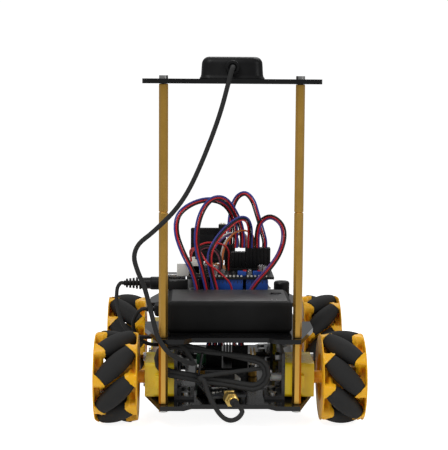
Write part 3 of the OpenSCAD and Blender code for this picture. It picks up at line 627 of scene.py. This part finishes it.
def make_copies_tree():
    """Copies of one shape on a set of points."""
    tree, given, end = new_geometry_tree("copies_on_points", [
        ("Shape", "Object"), ("Finish", "Material")])
    shape = add_node(tree, "GeometryNodeObjectInfo",
                     {"As Instance": True, "Object": given["Shape"]}).outputs["Geometry"]
    copies = add_node(tree, "GeometryNodeInstanceOnPoints",
                      {"Points": given["Geometry"], "Instance": shape})
    return end_with_finish(tree, copies.outputs["Instances"], given["Finish"], end)


def make_tubes_tree():
    """A round tube along a mesh's edges."""
    tree, given, end = new_geometry_tree("tubes_on_edges", [
        ("Radius", "Float"), ("Sides", "Int"), ("Finish", "Material")])
    path = add_node(tree, "GeometryNodeMeshToCurve", {"Mesh": given["Geometry"]})
    outline = add_node(tree, "GeometryNodeCurvePrimitiveCircle",
                       {"Resolution": given["Sides"], "Radius": given["Radius"]})
    tube = add_node(tree, "GeometryNodeCurveToMesh",
                    {"Curve": path.outputs["Curve"], "Profile Curve": outline.outputs["Curve"]})
    return end_with_finish(tree, tube.outputs["Mesh"], given["Finish"], end)


def bake(name, mesh, tree, values):
    """Runs a geometry tree on a mesh and gives its plain result."""
    holder = put_in(name, mesh)
    run = holder.modifiers.new("run", "NODES")
    run.node_group = tree
    ids = socket_ids(tree)
    for label, value in values.items():
        run[ids[label]] = value
    result = plain_result(holder)
    result.name = name
    return result


def add_grid(name, count, step, bar, centre, finish, body="chassis"):
    """Bars in millimetres: count and step across and along, one bar's size, the grid's centre."""
    mesh = bake(name, bpy.data.meshes.new(name), GRID, {
        "Count across": count[0], "Count along": count[1],
        "Width": (count[0] - 1) * step[0] * MM, "Length": (count[1] - 1) * step[1] * MM,
        "Bar": tuple(b * MM for b in bar), "Centre": tuple(c * MM for c in centre),
        "Finish": FINISH[finish]})
    return add_piece(name, mesh, None, body)


def add_copies(name, shape, places, finish):
    """Copies of a mesh at places in millimetres."""
    points = bpy.data.meshes.new(name)
    points.from_pydata([Vector(p) * MM for p in places], [], [])
    pattern = put_in(name + "_shape", shape)
    mesh = bake(name, points, COPIES, {"Shape": pattern, "Finish": FINISH[finish]})
    bpy.data.objects.remove(pattern)
    for face in mesh.polygons:
        face.use_smooth = True
    return add_piece(name, mesh, None)


# ---- moulded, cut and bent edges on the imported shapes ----

def packed_shape(node):
    """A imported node's mesh, with its corners joined up."""
    bm = bmesh.new()
    bm.from_mesh(nodes[node].data)
    bmesh.ops.remove_doubles(bm, verts=bm.verts, dist=2e-6)
    return bm


def shaped(name, mesh, *changes):
    """Runs modifiers on a mesh, each (kind, settings), and gives the plain result."""
    holder = put_in(name, mesh)
    for kind, settings in changes:
        step = holder.modifiers.new(kind.lower(), kind)
        for key, value in settings.items():
            setattr(step, key, value)
    result = plain_result(holder)
    for face in result.polygons:
        face.use_smooth = True
    return result


def add_rounded_copy(node, width, finish):
    """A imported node's shape with its sharp edges rounded by width, in millimetres."""
    bm = packed_shape(node)
    bmesh.ops.dissolve_limit(bm, angle_limit=math.radians(1), verts=bm.verts, edges=bm.edges)
    mesh = shaped(node, to_mesh(bm, node),
                  ("BEVEL", {"width": width * MM, "segments": 2, "limit_method": "ANGLE",
                             "angle_limit": math.radians(40)}))
    mesh.set_sharp_from_angle(angle=math.radians(28))
    piece = add_piece("rounded_" + node, mesh, finish)
    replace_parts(piece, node)


# ---- wheels ----

WHEELS = ("fl", "fr", "rl", "rr")
WHEEL_R = 30
AXIS_R = 23.5
ROLLER_COUNT = 8
ROLLER_HALF = 13.5
EAR_OUT = 16.4
PIN_R = 1.2
HUB_HALF = 14.02
PETAL_R = 5.9
PETAL_REACH = 29.3
PETAL_SIDES = 20
SHAFT_FROM = 6.73
FIRST_ROLLER = {"rl": 30, "rr": 15, "fl": 8, "fr": 38}


def side_of(wheel):
    """1 for the wheels at +X and -1 for those at -X."""
    return 1 if wheel[1] == "r" else -1


def hand_of(wheel):
    """The way a wheel's rollers lean: diagonal wheels lean the same way."""
    return side_of(wheel) * (1 if wheel[0] == "f" else -1)


def wheel_centre(wheel):
    """Middle of a wheel, from its rollers' box."""
    lows, highs = zip(*(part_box(f"roller_{wheel}_{k}") for k in range(1, ROLLER_COUNT + 1)))
    x = (min(p.x for p in lows) + max(p.x for p in highs)) / 2
    y = (min(p.y for p in lows) + max(p.y for p in highs)) / 2
    return Vector((x, y, WHEEL_R * MM))


def on_roller(wheel, k):
    """Puts Z along roller k of a wheel, with its middle at the origin."""
    turn = math.radians(90 - FIRST_ROLLER[wheel] - (k - 1) * 360 / ROLLER_COUNT)
    return (Matrix.Translation(wheel_centre(wheel)) @ Matrix.Rotation(turn, 4, "X")
            @ Matrix.Translation((0, 0, AXIS_R * MM))
            @ Matrix.Rotation(hand_of(wheel) * math.pi / 4, 4, "Z")
            @ Matrix.Rotation(math.pi / 2, 4, "Y"))


def add_petal(bm, wheel, place, end):
    """A rounded tooth from a roller's end out to the face of the rim."""
    centre = wheel_centre(wheel)
    side = 1 if (place @ Vector((0, 0, end * MM)) - place @ Vector()).x > 0 else -1
    deepest = (HUB_HALF - 0.3) * MM
    inner, outer = [], []
    for k in range(PETAL_SIDES):
        a = math.tau * k / PETAL_SIDES
        near = place @ (Vector((PETAL_R * math.cos(a), PETAL_R * math.sin(a),
                                end * (ROLLER_HALF + 0.5))) * MM)
        far = near.copy()
        far.x = centre.x + side * (HUB_HALF - 0.15) * MM
        for point, reach in ((near, PETAL_REACH), (far, PETAL_REACH - 1.2)):
            away = (point - centre).yz
            if away.length > reach * MM:
                away = away.normalized() * reach * MM
                point.y, point.z = centre.y + away.x, centre.z + away.y
        if (near.x - centre.x) * side > deepest:
            near.x = centre.x + side * deepest
        inner.append(bm.verts.new(near))
        outer.append(bm.verts.new(far))
    faces = [bm.faces.new(inner), bm.faces.new(outer)]
    for k in range(PETAL_SIDES):
        n = (k + 1) % PETAL_SIDES
        faces.append(bm.faces.new((inner[k], inner[n], outer[n], outer[k])))
    bmesh.ops.recalc_face_normals(bm, faces=faces)


def add_hub(wheel):
    """The two hub plates, with filleted ears and blind pin holes, as they come from the mould."""
    name = "hub_" + wheel
    bm = packed_shape(name)
    bottom, top, radius = EAR_OUT - 1.1, EAR_OUT + 0.1, PIN_R + 0.5
    for k in range(1, ROLLER_COUNT + 1):
        for end in (-1, 1):
            cap = [(0, end * bottom), (radius, end * bottom), (radius, end * top), (0, end * top)]
            add_lathe(bm, cap if end > 0 else cap[::-1], on_roller(wheel, k), 12)
            add_petal(bm, wheel, on_roller(wheel, k), end)
    voxel = 0.42 * MM
    baked = shaped(name, to_mesh(bm, name), ("REMESH", {"mode": "VOXEL", "voxel_size": voxel}),
                   ("SMOOTH", {"factor": 0.5, "iterations": 5}))
    piece = add_piece("moulded_hub_" + wheel, baked, "hub", "wheel_" + wheel)
    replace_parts(piece, name)


def add_axle(wheel):
    """Roller pins, set back in their blind holes, the flatted shaft and the wheel screw."""
    body = "wheel_" + wheel
    half = EAR_OUT - 1.2
    pin = [(0, -half), (PIN_R - 0.2, -half), (PIN_R, 0.2 - half), (PIN_R, half - 0.2),
           (PIN_R - 0.2, half), (0, half)]
    bm = bmesh.new()
    for k in range(1, ROLLER_COUNT + 1):
        add_lathe(bm, pin, on_roller(wheel, k), 16)
    pins = add_piece("roller_pins_" + wheel, mesh_from(bm, "roller_pins"), "steel",
                     body)
    low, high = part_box("axle_" + wheel)
    centre = wheel_centre(wheel) / MM
    side = side_of(wheel)
    end = abs((high.x if side < 0 else low.x) / MM - centre.x)
    shaft = [(0, SHAFT_FROM), (2.3, SHAFT_FROM), (2.7, 7.2), (2.7, end - 0.6), (2.3, end),
             (0, end)]
    screw = [(0, -14.4), (0.9, -14.4), (2.2, -14.1), (2.6, -13.3), (2.6, -12.53), (1.2, -12.53),
             (1.2, 12), (0, 12)]
    along = (-side, 0, 0)
    made = [lathes("drive_shaft_" + wheel, [(shaft, centre, along)], "white_nylon",
                   32, body),
            pins,
            lathes("wheel_screw_" + wheel, [(screw, centre, along)], "steel", 24,
                   body)]
    for piece in made:
        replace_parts(piece, "axle_" + wheel)


# ---- deck heights and boards, in millimetres ----

def top_of(name):
    """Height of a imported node's top, in millimetres."""
    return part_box(name)[1].z / MM


LOWER_TOP = top_of("lower_plate")
DECK_TOP = top_of("upper_plate")
MAST_TOP = top_of("mast_plate")
PITCH = 2.54
BOARD_T = 1.6
BOARD_LEFT, BOARD_BACK = -38.7, -19.5
BOARD_Y = 53.4
BOARD_Z = DECK_TOP + 16
HEADER_H = 8.5
SHIELD_LEFT = -28
SHIELD_Z = BOARD_Z + BOARD_T + HEADER_H
SHIELD_TOP = SHIELD_Z + BOARD_T
JACK_X, JACK_Y = BOARD_LEFT - 1.8, BOARD_BACK + 7.5
DRIVER_TOP = LOWER_TOP + 5 + BOARD_T
RECEIVER_AT = (-5, -69)
RECEIVER_TURN = math.radians(12)
RECEIVER_Z = LOWER_TOP + 3.4
PLUG_H = 16.5
COLUMN_HALF = 2.5
CORNER_STEPS = 6
PLATE_T = 3
SERVO_X, SERVO_Y = -12, 70
HEAD_Z = DECK_TOP + 22 + 3.3


def on_receiver(x, y, z):
    """A point on the tilted receiver board, from its centre."""
    c, s = math.cos(RECEIVER_TURN), math.sin(RECEIVER_TURN)
    return (RECEIVER_AT[0] + x * c - y * s, RECEIVER_AT[1] + x * s + y * c, RECEIVER_Z + z)


def add_standoffs():
    """Hex standoffs with chamfered ends."""
    corner = COLUMN_HALF / math.cos(math.pi / 6)
    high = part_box("brass_standoffs")[1] / MM
    columns = [(sx * (high.x - corner), sy * (high.y - COLUMN_HALF))
               for sx in (-1, 1) for sy in (-1, 1)]
    mast = (MAST_TOP - PLATE_T - DECK_TOP) / 2
    posts = [(14.6, 2.8), (15.3, 50.8), (66.1, 7.6), (66.1, 35.6)]
    sets = {
        "column": (DECK_TOP - PLATE_T - LOWER_TOP, [(x, y, LOWER_TOP) for x, y in columns]),
        "mast": (mast - 0.1, [(x, y, DECK_TOP + n * mast) for x, y in columns if y < 0
                              for n in (0, 1)]),
        "board": (16, [(BOARD_LEFT + x, BOARD_BACK + y, DECK_TOP) for x, y in posts]),
        "driver": (5, [(sx * 18, 4 + sy * 18, LOWER_TOP) for sx in (-1, 1) for sy in (-1, 1)]),
    }
    for name, (length, places) in sets.items():
        bm = bmesh.new()
        add_lathe(bm, [(0, 0.4), (1.5, 0.4), (1.5, 0), (corner - 0.45, 0), (corner, 0.45),
                       (corner, length - 0.45), (corner - 0.45, length), (1.5, length),
                       (1.5, length - 0.4), (0, length - 0.4)], Matrix.Identity(4), 6)
        piece = add_copies(name + "_standoffs", mesh_from(bm, name, 20), places, "brass")
        piece.data.set_sharp_from_angle(angle=math.radians(20))
        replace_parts(piece, "brass_standoffs")


def add_loft(bm, centre, levels):
    """Stacks rounded squares, each (height, half width, corner radius), into one closed shell."""
    rings = []
    for height, half, corner in levels:
        ring = []
        for quarter in range(4):
            turn = Matrix.Rotation(quarter * math.pi / 2, 3, "Z")
            for k in range(CORNER_STEPS + 1):
                a = math.pi / 2 * k / CORNER_STEPS
                point = Vector((half - corner + corner * math.cos(a),
                                half - corner + corner * math.sin(a), 0))
                point = turn @ point + Vector(centre) + Vector((0, 0, height))
                ring.append(bm.verts.new(point * MM))
        rings.append(ring)
    count = len(rings[0])
    for low, high in zip(rings, rings[1:]):
        for k in range(count):
            n = (k + 1) % count
            bm.faces.new((low[k], low[n], high[n], high[k]))
    bm.faces.new(rings[0])
    bm.faces.new(rings[-1])


def add_antenna():
    """Flared foot, sides that lean in, round shoulders, and the cable's boss."""
    shoulder, height, corner = 4.4, 13.6, 6
    levels = [(0, 20, corner), (0.5, 20.1, corner), (1.4, 19.4, corner), (2.6, 19.1, corner),
              (height - shoulder, 18.7, corner)]
    for k in range(1, 9):
        a = math.pi / 2 * k / 8
        half = 18.7 - shoulder * (1 - math.cos(a))
        levels.append((height - shoulder * (1 - math.sin(a)), half,
                       corner - 2.5 * (1 - math.cos(a))))
    bm = bmesh.new()
    add_loft(bm, (0, -78, MAST_TOP), levels)
    shell = add_piece("antenna_shell", mesh_from(bm, "antenna_shell", 50), "antenna")
    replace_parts(shell, "gnss_antenna")
    boss = [(0, -2), (4.5, -2), (4.5, 4.2), (4.0, 5), (2.7, 5), (2.6, 4), (2.3, 4), (1.6, 5.6),
            (0, 5.6)]
    lathes("antenna_boss", [(boss, (0, -94.5, MAST_TOP + 7), (0, -1, 0))], "antenna",
           28)


def add_power_bank():
    """Rounded shell, lighter satin lid with charge marks, the button's ring and ports."""
    low, high = (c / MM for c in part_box("power_bank"))
    mid = (low + high) / 2
    size = high - low
    bm = bmesh.new()
    add_block(bm, (size.x, size.y, size.z), mid, 3.2, steps=6)
    shell = add_piece("bank_shell", mesh_from(bm, "bank_shell", 40), "bank")
    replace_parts(shell, "power_bank")
    blocks("bank_lid", [((size.x - 6, size.y - 6, 0.5), (mid.x, mid.y, high.z + 0.02))],
           "bank_top", 0.2)
    add_grid("charge_marks", (4, 1), (3, 1), (0.7, 3.4, 0.16), (32, low.y + 8, high.z + 0.3),
             "silver")
    ring = [(3.7, -0.1), (4.6, -0.1), (4.6, 0.35), (4.3, 0.5), (3.9, 0.5), (3.7, 0.3),
            (3.7, -0.1)]
    button = sum(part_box("power_button"), Vector()) / 2 / MM
    lathes("button_ring", [(ring, (button.x, button.y, high.z), UP)], "dark_steel",
           32)
    blocks("bank_ports", [((0.6, 13, 6), (high.x - 0.1, mid.y + 9, mid.z)),
                          ((0.6, 9, 4), (high.x - 0.1, mid.y - 7, mid.z)),
                          ((0.6, 13, 6), (low.x + 0.1, mid.y + 9, mid.z))],
           "dark_steel", 0.2)


def add_lead_plugs():
    """The flat plug in the power bank and the round one with its slotted strain relief."""
    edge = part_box("power_bank")[0].x / MM
    y, z = -45, 70
    blocks("bank_plug", [((8.4, 14, 8), (edge - 4.5, y, z))], "black", round_by=1.6)
    blocks("bank_plug_tip", [((5, 12, 4.5), (edge + 2.2, y, z))], "silver")
    neck = [(0, 8), (3, 8), (2.9, 9)]
    for n in range(4):
        neck += [(2.7 - n * 0.2, 9.2 + n * 1.25), (1.6, 9.3 + n * 1.25), (1.6, 9.9 + n * 1.25),
                 (2.6 - n * 0.2, 10 + n * 1.25)]
    neck += [(1.5, 14.2), (0, 14.2)]
    lathes("bank_plug_neck", [(neck, (edge, y, z), LEFT)], "black", steps=24)
    body = [(0, 0), (4.1, 0), (4.5, 0.5), (4.5, 12), (4.1, 12.6), (3.9, 13.2), (3.9, 18.4),
            (3.5, 19), (0, 19)]
    relief = [(0, 18.5), (2.1, 18.5)]
    for n in range(5):
        a = 19 + n * 2.3
        r = 4.3 - n * 0.3
        relief += [(r, a), (r, a + 1.35), (1.75, a + 1.45), (1.75, a + 2.2)]
    relief += [(1.9, 30.6), (1.7, 31), (0, 31)]
    start = (JACK_X, JACK_Y, BOARD_Z + BOARD_T + 4.6)
    lathes("jack_plug", [(body, start, LEFT), (relief, start, LEFT)], "black", steps=28)


def add_board_parts():
    """Everything soldered or plugged on the control board and its shield."""
    top = BOARD_Z + BOARD_T
    edge = BOARD_BACK + 1.3 + 1.25
    far = BOARD_BACK + BOARD_Y - 1.3 - 1.25
    rows = [(26.6, edge, 9), (51.4, edge, 6), (18.8, far, 10), (45.4, far, 7)]
    headers = [((n * PITCH - 0.3, 2.5, HEADER_H), (BOARD_LEFT + x + n * PITCH / 2, y,
                                                   top + HEADER_H / 2)) for x, y, n in rows]
    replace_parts(blocks("header_sockets", headers, "blue_plastic", round_by=0.15),
                "board_connectors")
    for i, (x, y, n) in enumerate(rows):
        middle = BOARD_LEFT + x + n * PITCH / 2
        add_grid(f"header_slots_{i}", (n, 1), (PITCH, 1), (0.5, 2.62, 1.6),
                 (middle, y, top + HEADER_H - 2.2), "dark_steel")
        add_grid(f"header_pins_{i}", (n, 1), (PITCH, 1), (1.2, 1.2, 1.1),
                 (middle, y - 0.9 if y < 0 else y, SHIELD_TOP + 0.5), "white_plastic")
        add_grid(f"board_joints_{i}", (n, 1), (PITCH, 1), (1.1, 1.1, 0.7),
                 (middle, y, BOARD_Z - 0.2), "silver")
    housings = []
    depth = 3 * PITCH
    for count, left, back in ((11, 3, BOARD_BACK + 26), (3, -1, BOARD_BACK + 44)):
        y = back + depth / 2
        for n in range(count):
            tall = (PLUG_H if n > count * 0.35 or count < 4 else PLUG_H - 3) - 2.6
            housings.append(((PITCH - 0.12, depth - 0.1, tall),
                             (left + (n + 0.5) * PITCH, y, SHIELD_TOP + 2.6 + tall / 2)))
        housings.append(((count * PITCH, depth, 2.4),
                         (left + count * PITCH / 2, y, SHIELD_TOP + 1.2)))
    blocks("wire_plugs", housings, "black", round_by=0.25)
    sockets = [((8, 10, 6), (SHIELD_LEFT + 5, BOARD_BACK + 19 + 12 * n, SHIELD_TOP + 3))
               for n in range(3)]
    sockets.append(((8, 8, 7), (SHIELD_LEFT - 2.8, BOARD_BACK + 6, SHIELD_TOP + 3.5)))
    shrouds = [((8, 1.2, 8.5), (x, y - 4.4, z + 1.25)) for (_, (x, y, z)) in sockets]
    blocks("motor_sockets", sockets + shrouds, "white_plastic", round_by=0.5)
    # Black bars on each motor socket's front: painted shade standing in for its pin openings, no
    # holes are cut
    for n in range(3):
        add_grid(f"socket_windows_{n}", (2, 1), (2.5, 1), (1.1, 0.3, 1.5),
                 (SHIELD_LEFT + 5, BOARD_BACK + 13.95 + 12 * n, SHIELD_TOP + 2.2), "black")
    # Black bars on the side socket: painted shade standing in for its holes, no holes are cut
    add_grid("side_socket_holes", (2, 1), (3.4, 1), (1.5, 0.3, 1.5),
             (SHIELD_LEFT - 2.8, BOARD_BACK + 1.95, SHIELD_TOP + 1.4), "black")
    jack = ((13.2, 9, 6.8), (JACK_X + 6.6, JACK_Y, top + 3.4))
    blocks("power_jack", [jack], "black", round_by=0.6)
    blocks("usb_socket", [((16, 12, 6.8), (BOARD_LEFT - 6.3 + 8, BOARD_BACK + 38, top + 3.4))],
           "silver", round_by=0.5)
    # Black plate at the USB socket's front: painted shade standing in for its open mouth, no
    # opening is cut
    blocks("usb_mouth", [((0.4, 9, 5), (BOARD_LEFT - 6.35, BOARD_BACK + 38, top + 3.4))],
           "black", round_by=0.1)
    add_small_parts(top)


def add_small_parts(top):
    """Chips, capacitors, lamps, terminals and resistors, each kind its own piece."""
    z = SHIELD_TOP
    chips = [((7, 20, 1.8), (-6, -2, z + 0.9)), ((9, 9, 1.6), (-14, 20, z + 0.8)),
             ((6, 6, 1.4), (12, -10, z + 0.7)), ((35, 7.5, 3.2), (8, 24, top + 1.6)),
             ((5, 4, 1.2), (18, -5, z + 0.6))]
    blocks("chips", chips, "black", round_by=0.2)
    cans = [(-16, -8), (-15, 4), (-9, -14), (24, -12)]
    can = [(0, 0), (2.9, 0), (3.1, 0.3), (3.1, 1.0), (2.8, 1.3), (3.1, 1.6), (3.1, 6.6),
           (2.8, 7), (2.3, 6.8), (0, 6.8)]
    lathes("capacitor_cans", [(can, (x, y, z), UP) for x, y in cans], "silver")
    lamp = [(0, 0), (1.9, 0), (1.9, 0.8), (1.5, 0.8), (1.5, 3.4), (1.3, 4.2), (0.8, 4.8),
            (0, 5)]
    lathes("clear_lamps", [(lamp, (15.3, -14.5, z), UP), (lamp, (-3, -13, z), UP)], "clear")
    bead = [(0, 0), (1.6, 0), (2.2, 1), (2.3, 3), (1.7, 4.6), (0, 5)]
    lathes("orange_capacitors", [(bead, (x, y, z), UP) for x, y in
                                 ((-10, 2), (-3, 4), (-7, 12))], "orange_resin")
    blocks("screw_terminals", [((6, 4, 3.4), (10, -13.5, z + 1.7)),
                               ((6, 4, 3.4), (20.5, -13.5, z + 1.7))],
           "blue_plastic", round_by=0.4)
    trimmer = [(0, 0), (1.3, 0), (1.3, 0.8), (0, 0.9)]
    lathes("trimmers", [(trimmer, (x, -14, z + 3.3), UP) for x in (12, 22)], "wire_red")
    add_grid("pin_field", (6, 3), (PITCH, PITCH), (0.62, 0.62, 5.5), (-11, 9, z + 2.7),
             "gold")
    add_grid("resistors", (7, 4), (4.1, 5.3), (1.6, 0.8, 0.6), (9, -4, z + 0.25), "silver")
    add_grid("tiny_chips", (5, 3), (5.6, 7.1), (1.3, 2.1, 0.7), (2, -8, z + 0.3), "black")
    add_grid("solder_joints", (12, 2), (PITCH, 34), (1.2, 1.2, 0.8), (5, 6, SHIELD_Z - 0.3),
             "silver")
    sounder = [(0, 0), (5.8, 0), (6, 0.3), (6, 8.2), (5.2, 9.4), (1.2, 9.4), (1.0, 8.6), (0, 8.6)]
    lathes("sounder", [(sounder, (44, 77, DECK_TOP), UP)], "black", steps=36)


def add_driver_parts():
    """Motor driver's heat sink, header blocks, terminal, coils and pins."""
    z = DRIVER_TOP
    heads = [((11, 3, 39 - z), (s * 9, -15.5, (39 + z) / 2)) for s in (-1, 1)]
    blocks("driver_plugs", heads, "black", round_by=0.25)
    blocks("power_terminal", [((8, 12, 10), (-17, -3.5, z + 5))], "green_plastic", round_by=0.4)
    screw = [(0, 0), (1.7, 0), (1.7, 0.4), (0, 0.4)]
    lathes("terminal_screws", [(screw, (-17, y, z + 9.9), UP) for y in (-1, -6)], "steel")
    blocks("sink_foot", [((14, 14, 3), (5, 11, z + 1.5))], "black", round_by=0.3)
    add_grid("sink_fins", (7, 1), (2.1, 1), (0.9, 14, 9.4), (5, 11, z + 7.3), "dark_steel")
    add_grid("driver_pins", (2, 8), (PITCH, PITCH), (0.64, 0.64, 8), (19, 4, z + 4), "gold")
    coil = [(0, 0), (3.2, 0), (3.4, 0.4), (3.4, 6.6), (3.1, 7), (0, 7)]
    lathes("driver_cans", [(coil, (-9, y, z), UP) for y in (13, 21)], "silver")


def add_receiver_parts():
    """Shielded module, pin row, small parts, and the gold jack with its thread."""
    turn = Matrix.Rotation(RECEIVER_TURN, 4, "Z")

    def turned(name, parts, finish, round_by=0.2):
        bm = bmesh.new()
        for size, at in parts:
            add_block(bm, size, on_receiver(*at), round_by, turn)
        return add_piece(name, mesh_from(bm, name), finish)

    turned("receiver_shield_can", [((14, 16, 2.6), (-1, 2, BOARD_T + 1.3))], "silver",
           0.4)
    turned("receiver_pin_base", [((2.5, 15.2, 2.5), (10.2, -2.4, BOARD_T + 1.25))], "black")
    turned("receiver_pins", [((0.64, 0.64, 6.4), (10.2, -8.7 + n * PITCH, BOARD_T + 5.2))
                             for n in range(6)], "white_plastic", 0.1)
    small = [((1.6, 0.9, 0.7), (-8 + 2.6 * n, -12 + n % 3, BOARD_T + 0.35)) for n in range(6)]
    turned("receiver_small_parts", small, "white_plastic", 0.1)
    out = (math.sin(RECEIVER_TURN), -math.cos(RECEIVER_TURN), 0)
    turned("jack_flange", [((6.4, 2, 6.4), (0, -21, BOARD_T / 2 + 1.2))], "gold",
           0.4)
    at = on_receiver(0, -20, BOARD_T / 2)
    thread = [(0, 1.8), (2.6, 1.8)]
    for n in range(13):
        thread += [(3.05, 2.2 + n * 0.55), (2.7, 2.45 + n * 0.55)]
    thread += [(2.4, 9.8), (0, 9.8)]
    lathes("jack_thread", [(thread, at, out)], "gold", 24)
    start = on_receiver(0, -22.5, BOARD_T / 2)
    across = 4 / math.cos(math.pi / 6)
    nut = [(3.2, 0), (across - 0.6, 0), (across, 0.5), (across, 6.4), (across - 0.5, 6.9),
           (3.7, 7.0), (3.7, 9), (0, 9)]
    ferrule = [(0, 8.8), (3.4, 8.8), (3.4, 9.6), (2.6, 9.9), (2.6, 12.4), (2.45, 12.6), (0, 12.6)]
    sleeve = [(0, 12), (2.75, 12), (2.8, 12.6), (2.6, 15.2), (2.0, 16.4), (0, 16.4)]
    made = [lathes("coupling_nut", [(nut, start, out)], "gold", 6, smooth=20),
            lathes("crimp_ferrule", [(ferrule, start, out)], "gold", 28),
            lathes("plug_sleeve", [(sleeve, start, out)], "cable", 28)]
    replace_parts(made[0], "antenna_plug")
    return made


def add_hank_tie():
    """A twisted tie round the hank's runs."""
    c, w = math.cos(HANK_TILT), math.sin(HANK_TILT)
    centre = HANK_AT + Vector((-8 * c, 0, 8 * w))
    ring = []
    for k in range(28):
        a = math.tau * k / 28
        y, z = 3.6 * math.cos(a), 12.6 * math.sin(a) * (1 - 0.42 * math.sin(a) ** 2)
        ring.append((centre + Vector((z * w, y, z * c))) * MM)
    path = bpy.data.meshes.new("hank_tie")
    path.from_pydata(ring, [(k, (k + 1) % 28) for k in range(28)], [])
    mesh = bake("hank_tie", path, TUBES, {"Radius": 0.75 * MM, "Sides": 10,
                                          "Finish": FINISH["wire_black"]})
    add_piece("hank_tie", mesh, None)


def add_sensor_head():
    """Rounded back plate, turned barrel with a glass lens, corner screws, and the socket with its
    contacts.
    """
    x, y, base = SERVO_X, SERVO_Y, HEAD_Z
    bm = bmesh.new()
    add_block(bm, (20, 14, 3.5), (x, y, base + 1.75), 0.8)
    add_block(bm, (20, 3, 8), (x, y + 5.5, base + 4), 0.6)
    add_block(bm, (27, 3, 25), (x, y + 8.5, base + 12.5), 1.3, steps=4)
    add_block(bm, (6, 5, 10), (x + 10.5, y + 5, base + 23), 0.6)
    add_block(bm, (14, 1.2, 12), (x - 3, y + 6.7, base + 14), 0.5)
    head = add_piece("head_bracket", mesh_from(bm, "head_bracket"), "black",
                     "head")
    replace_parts(head, "sensor_head")
    barrel = [(0, 0), (7.4, 0), (8, 0.6), (8, 7), (7.6, 7.4), (8, 7.8), (8, 11.4), (7.4, 12),
              (6.2, 12), (5.8, 10.4), (0, 10.2)]
    lathes("head_barrel", [(barrel, (x, y + 10, base + 12.5), (0, 1, 0))], "black",
           40, "head")
    glass = [(0, 11.4), (2, 11.2), (4, 10.8), (5.6, 10.2), (0, 10.0)]
    lathes("head_lens", [(glass[::-1], (x, y + 10, base + 12.5), (0, 1, 0))], "lens",
           40, "head")
    screw = [(0, 0), (1.4, 0), (1.6, 0.3), (1.4, 0.9), (0, 1)]
    corners = [(sx * 10.5, sz * 9.5) for sx in (-1, 1) for sz in (-1, 1)]
    lathes("head_screws", [(screw, (x + sx, y + 10, base + 12.5 + sz), (0, 1, 0))
                           for sx, sz in corners], "steel", 12, "head")
    add_grid("head_contacts", (4, 1), (1.2, 1), (0.5, 0.5, 1.6), (x + 10.5, y + 5, base + 28.4),
             "gold", "head")


def add_servo_details():
    """The servo's rounded case and the seams of its lid and foot."""
    add_rounded_copy("pan_servo", 0.5, "servo")
    blocks("servo_seams", [((12.3, 23.3, 0.25), (SERVO_X, SERVO_Y - 6, DECK_TOP + z))
                           for z in (5, 19)], "black", 0.05)


# ---- build ----

FINISH = make_finishes()
GRID = make_grid_tree()
COPIES = make_copies_tree()
TUBES = make_tubes_tree()
add_camera()
add_studio()
add_floor()
cable, cable_length = add_antenna_cable()
plug_pieces = add_receiver_parts()
add_leads()
add_ribbons()
add_hank_tie()
for wheel in WHEELS:
    add_hub(wheel)
    add_axle(wheel)
add_standoffs()
add_antenna()
add_power_bank()
add_lead_plugs()
add_board_parts()
add_driver_parts()
add_sensor_head()
add_servo_details()

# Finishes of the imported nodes, for whole names and for the first word of the repeated ones
NODE_FINISH = {
    "lower_plate": "acrylic", "upper_plate": "acrylic", "mast_plate": "acrylic",
    "brass_standoffs": "brass", "plate_screws": "steel", "gearbox_cases": "yellow_case",
    "motor_cans": "steel", "motor_brackets": "bracket", "power_bank": "bank",
    "power_button": "black", "gnss_antenna": "antenna", "antenna_plug": "gold",
    "circuit_boards": "board", "board_connectors": "black", "pan_servo": "servo",
    "sensor_head": "black", "hub": "hub", "axle": "white_nylon", "roller": "tyre"}


def finish_nodes():
    """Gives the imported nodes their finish; those without one keep what they have."""
    for name, node in nodes.items():
        kind = NODE_FINISH.get(name, NODE_FINISH.get(name.split("_")[0]))
        if kind:
            node.data.materials.clear()
            node.data.materials.append(FINISH[kind])


finish_nodes()
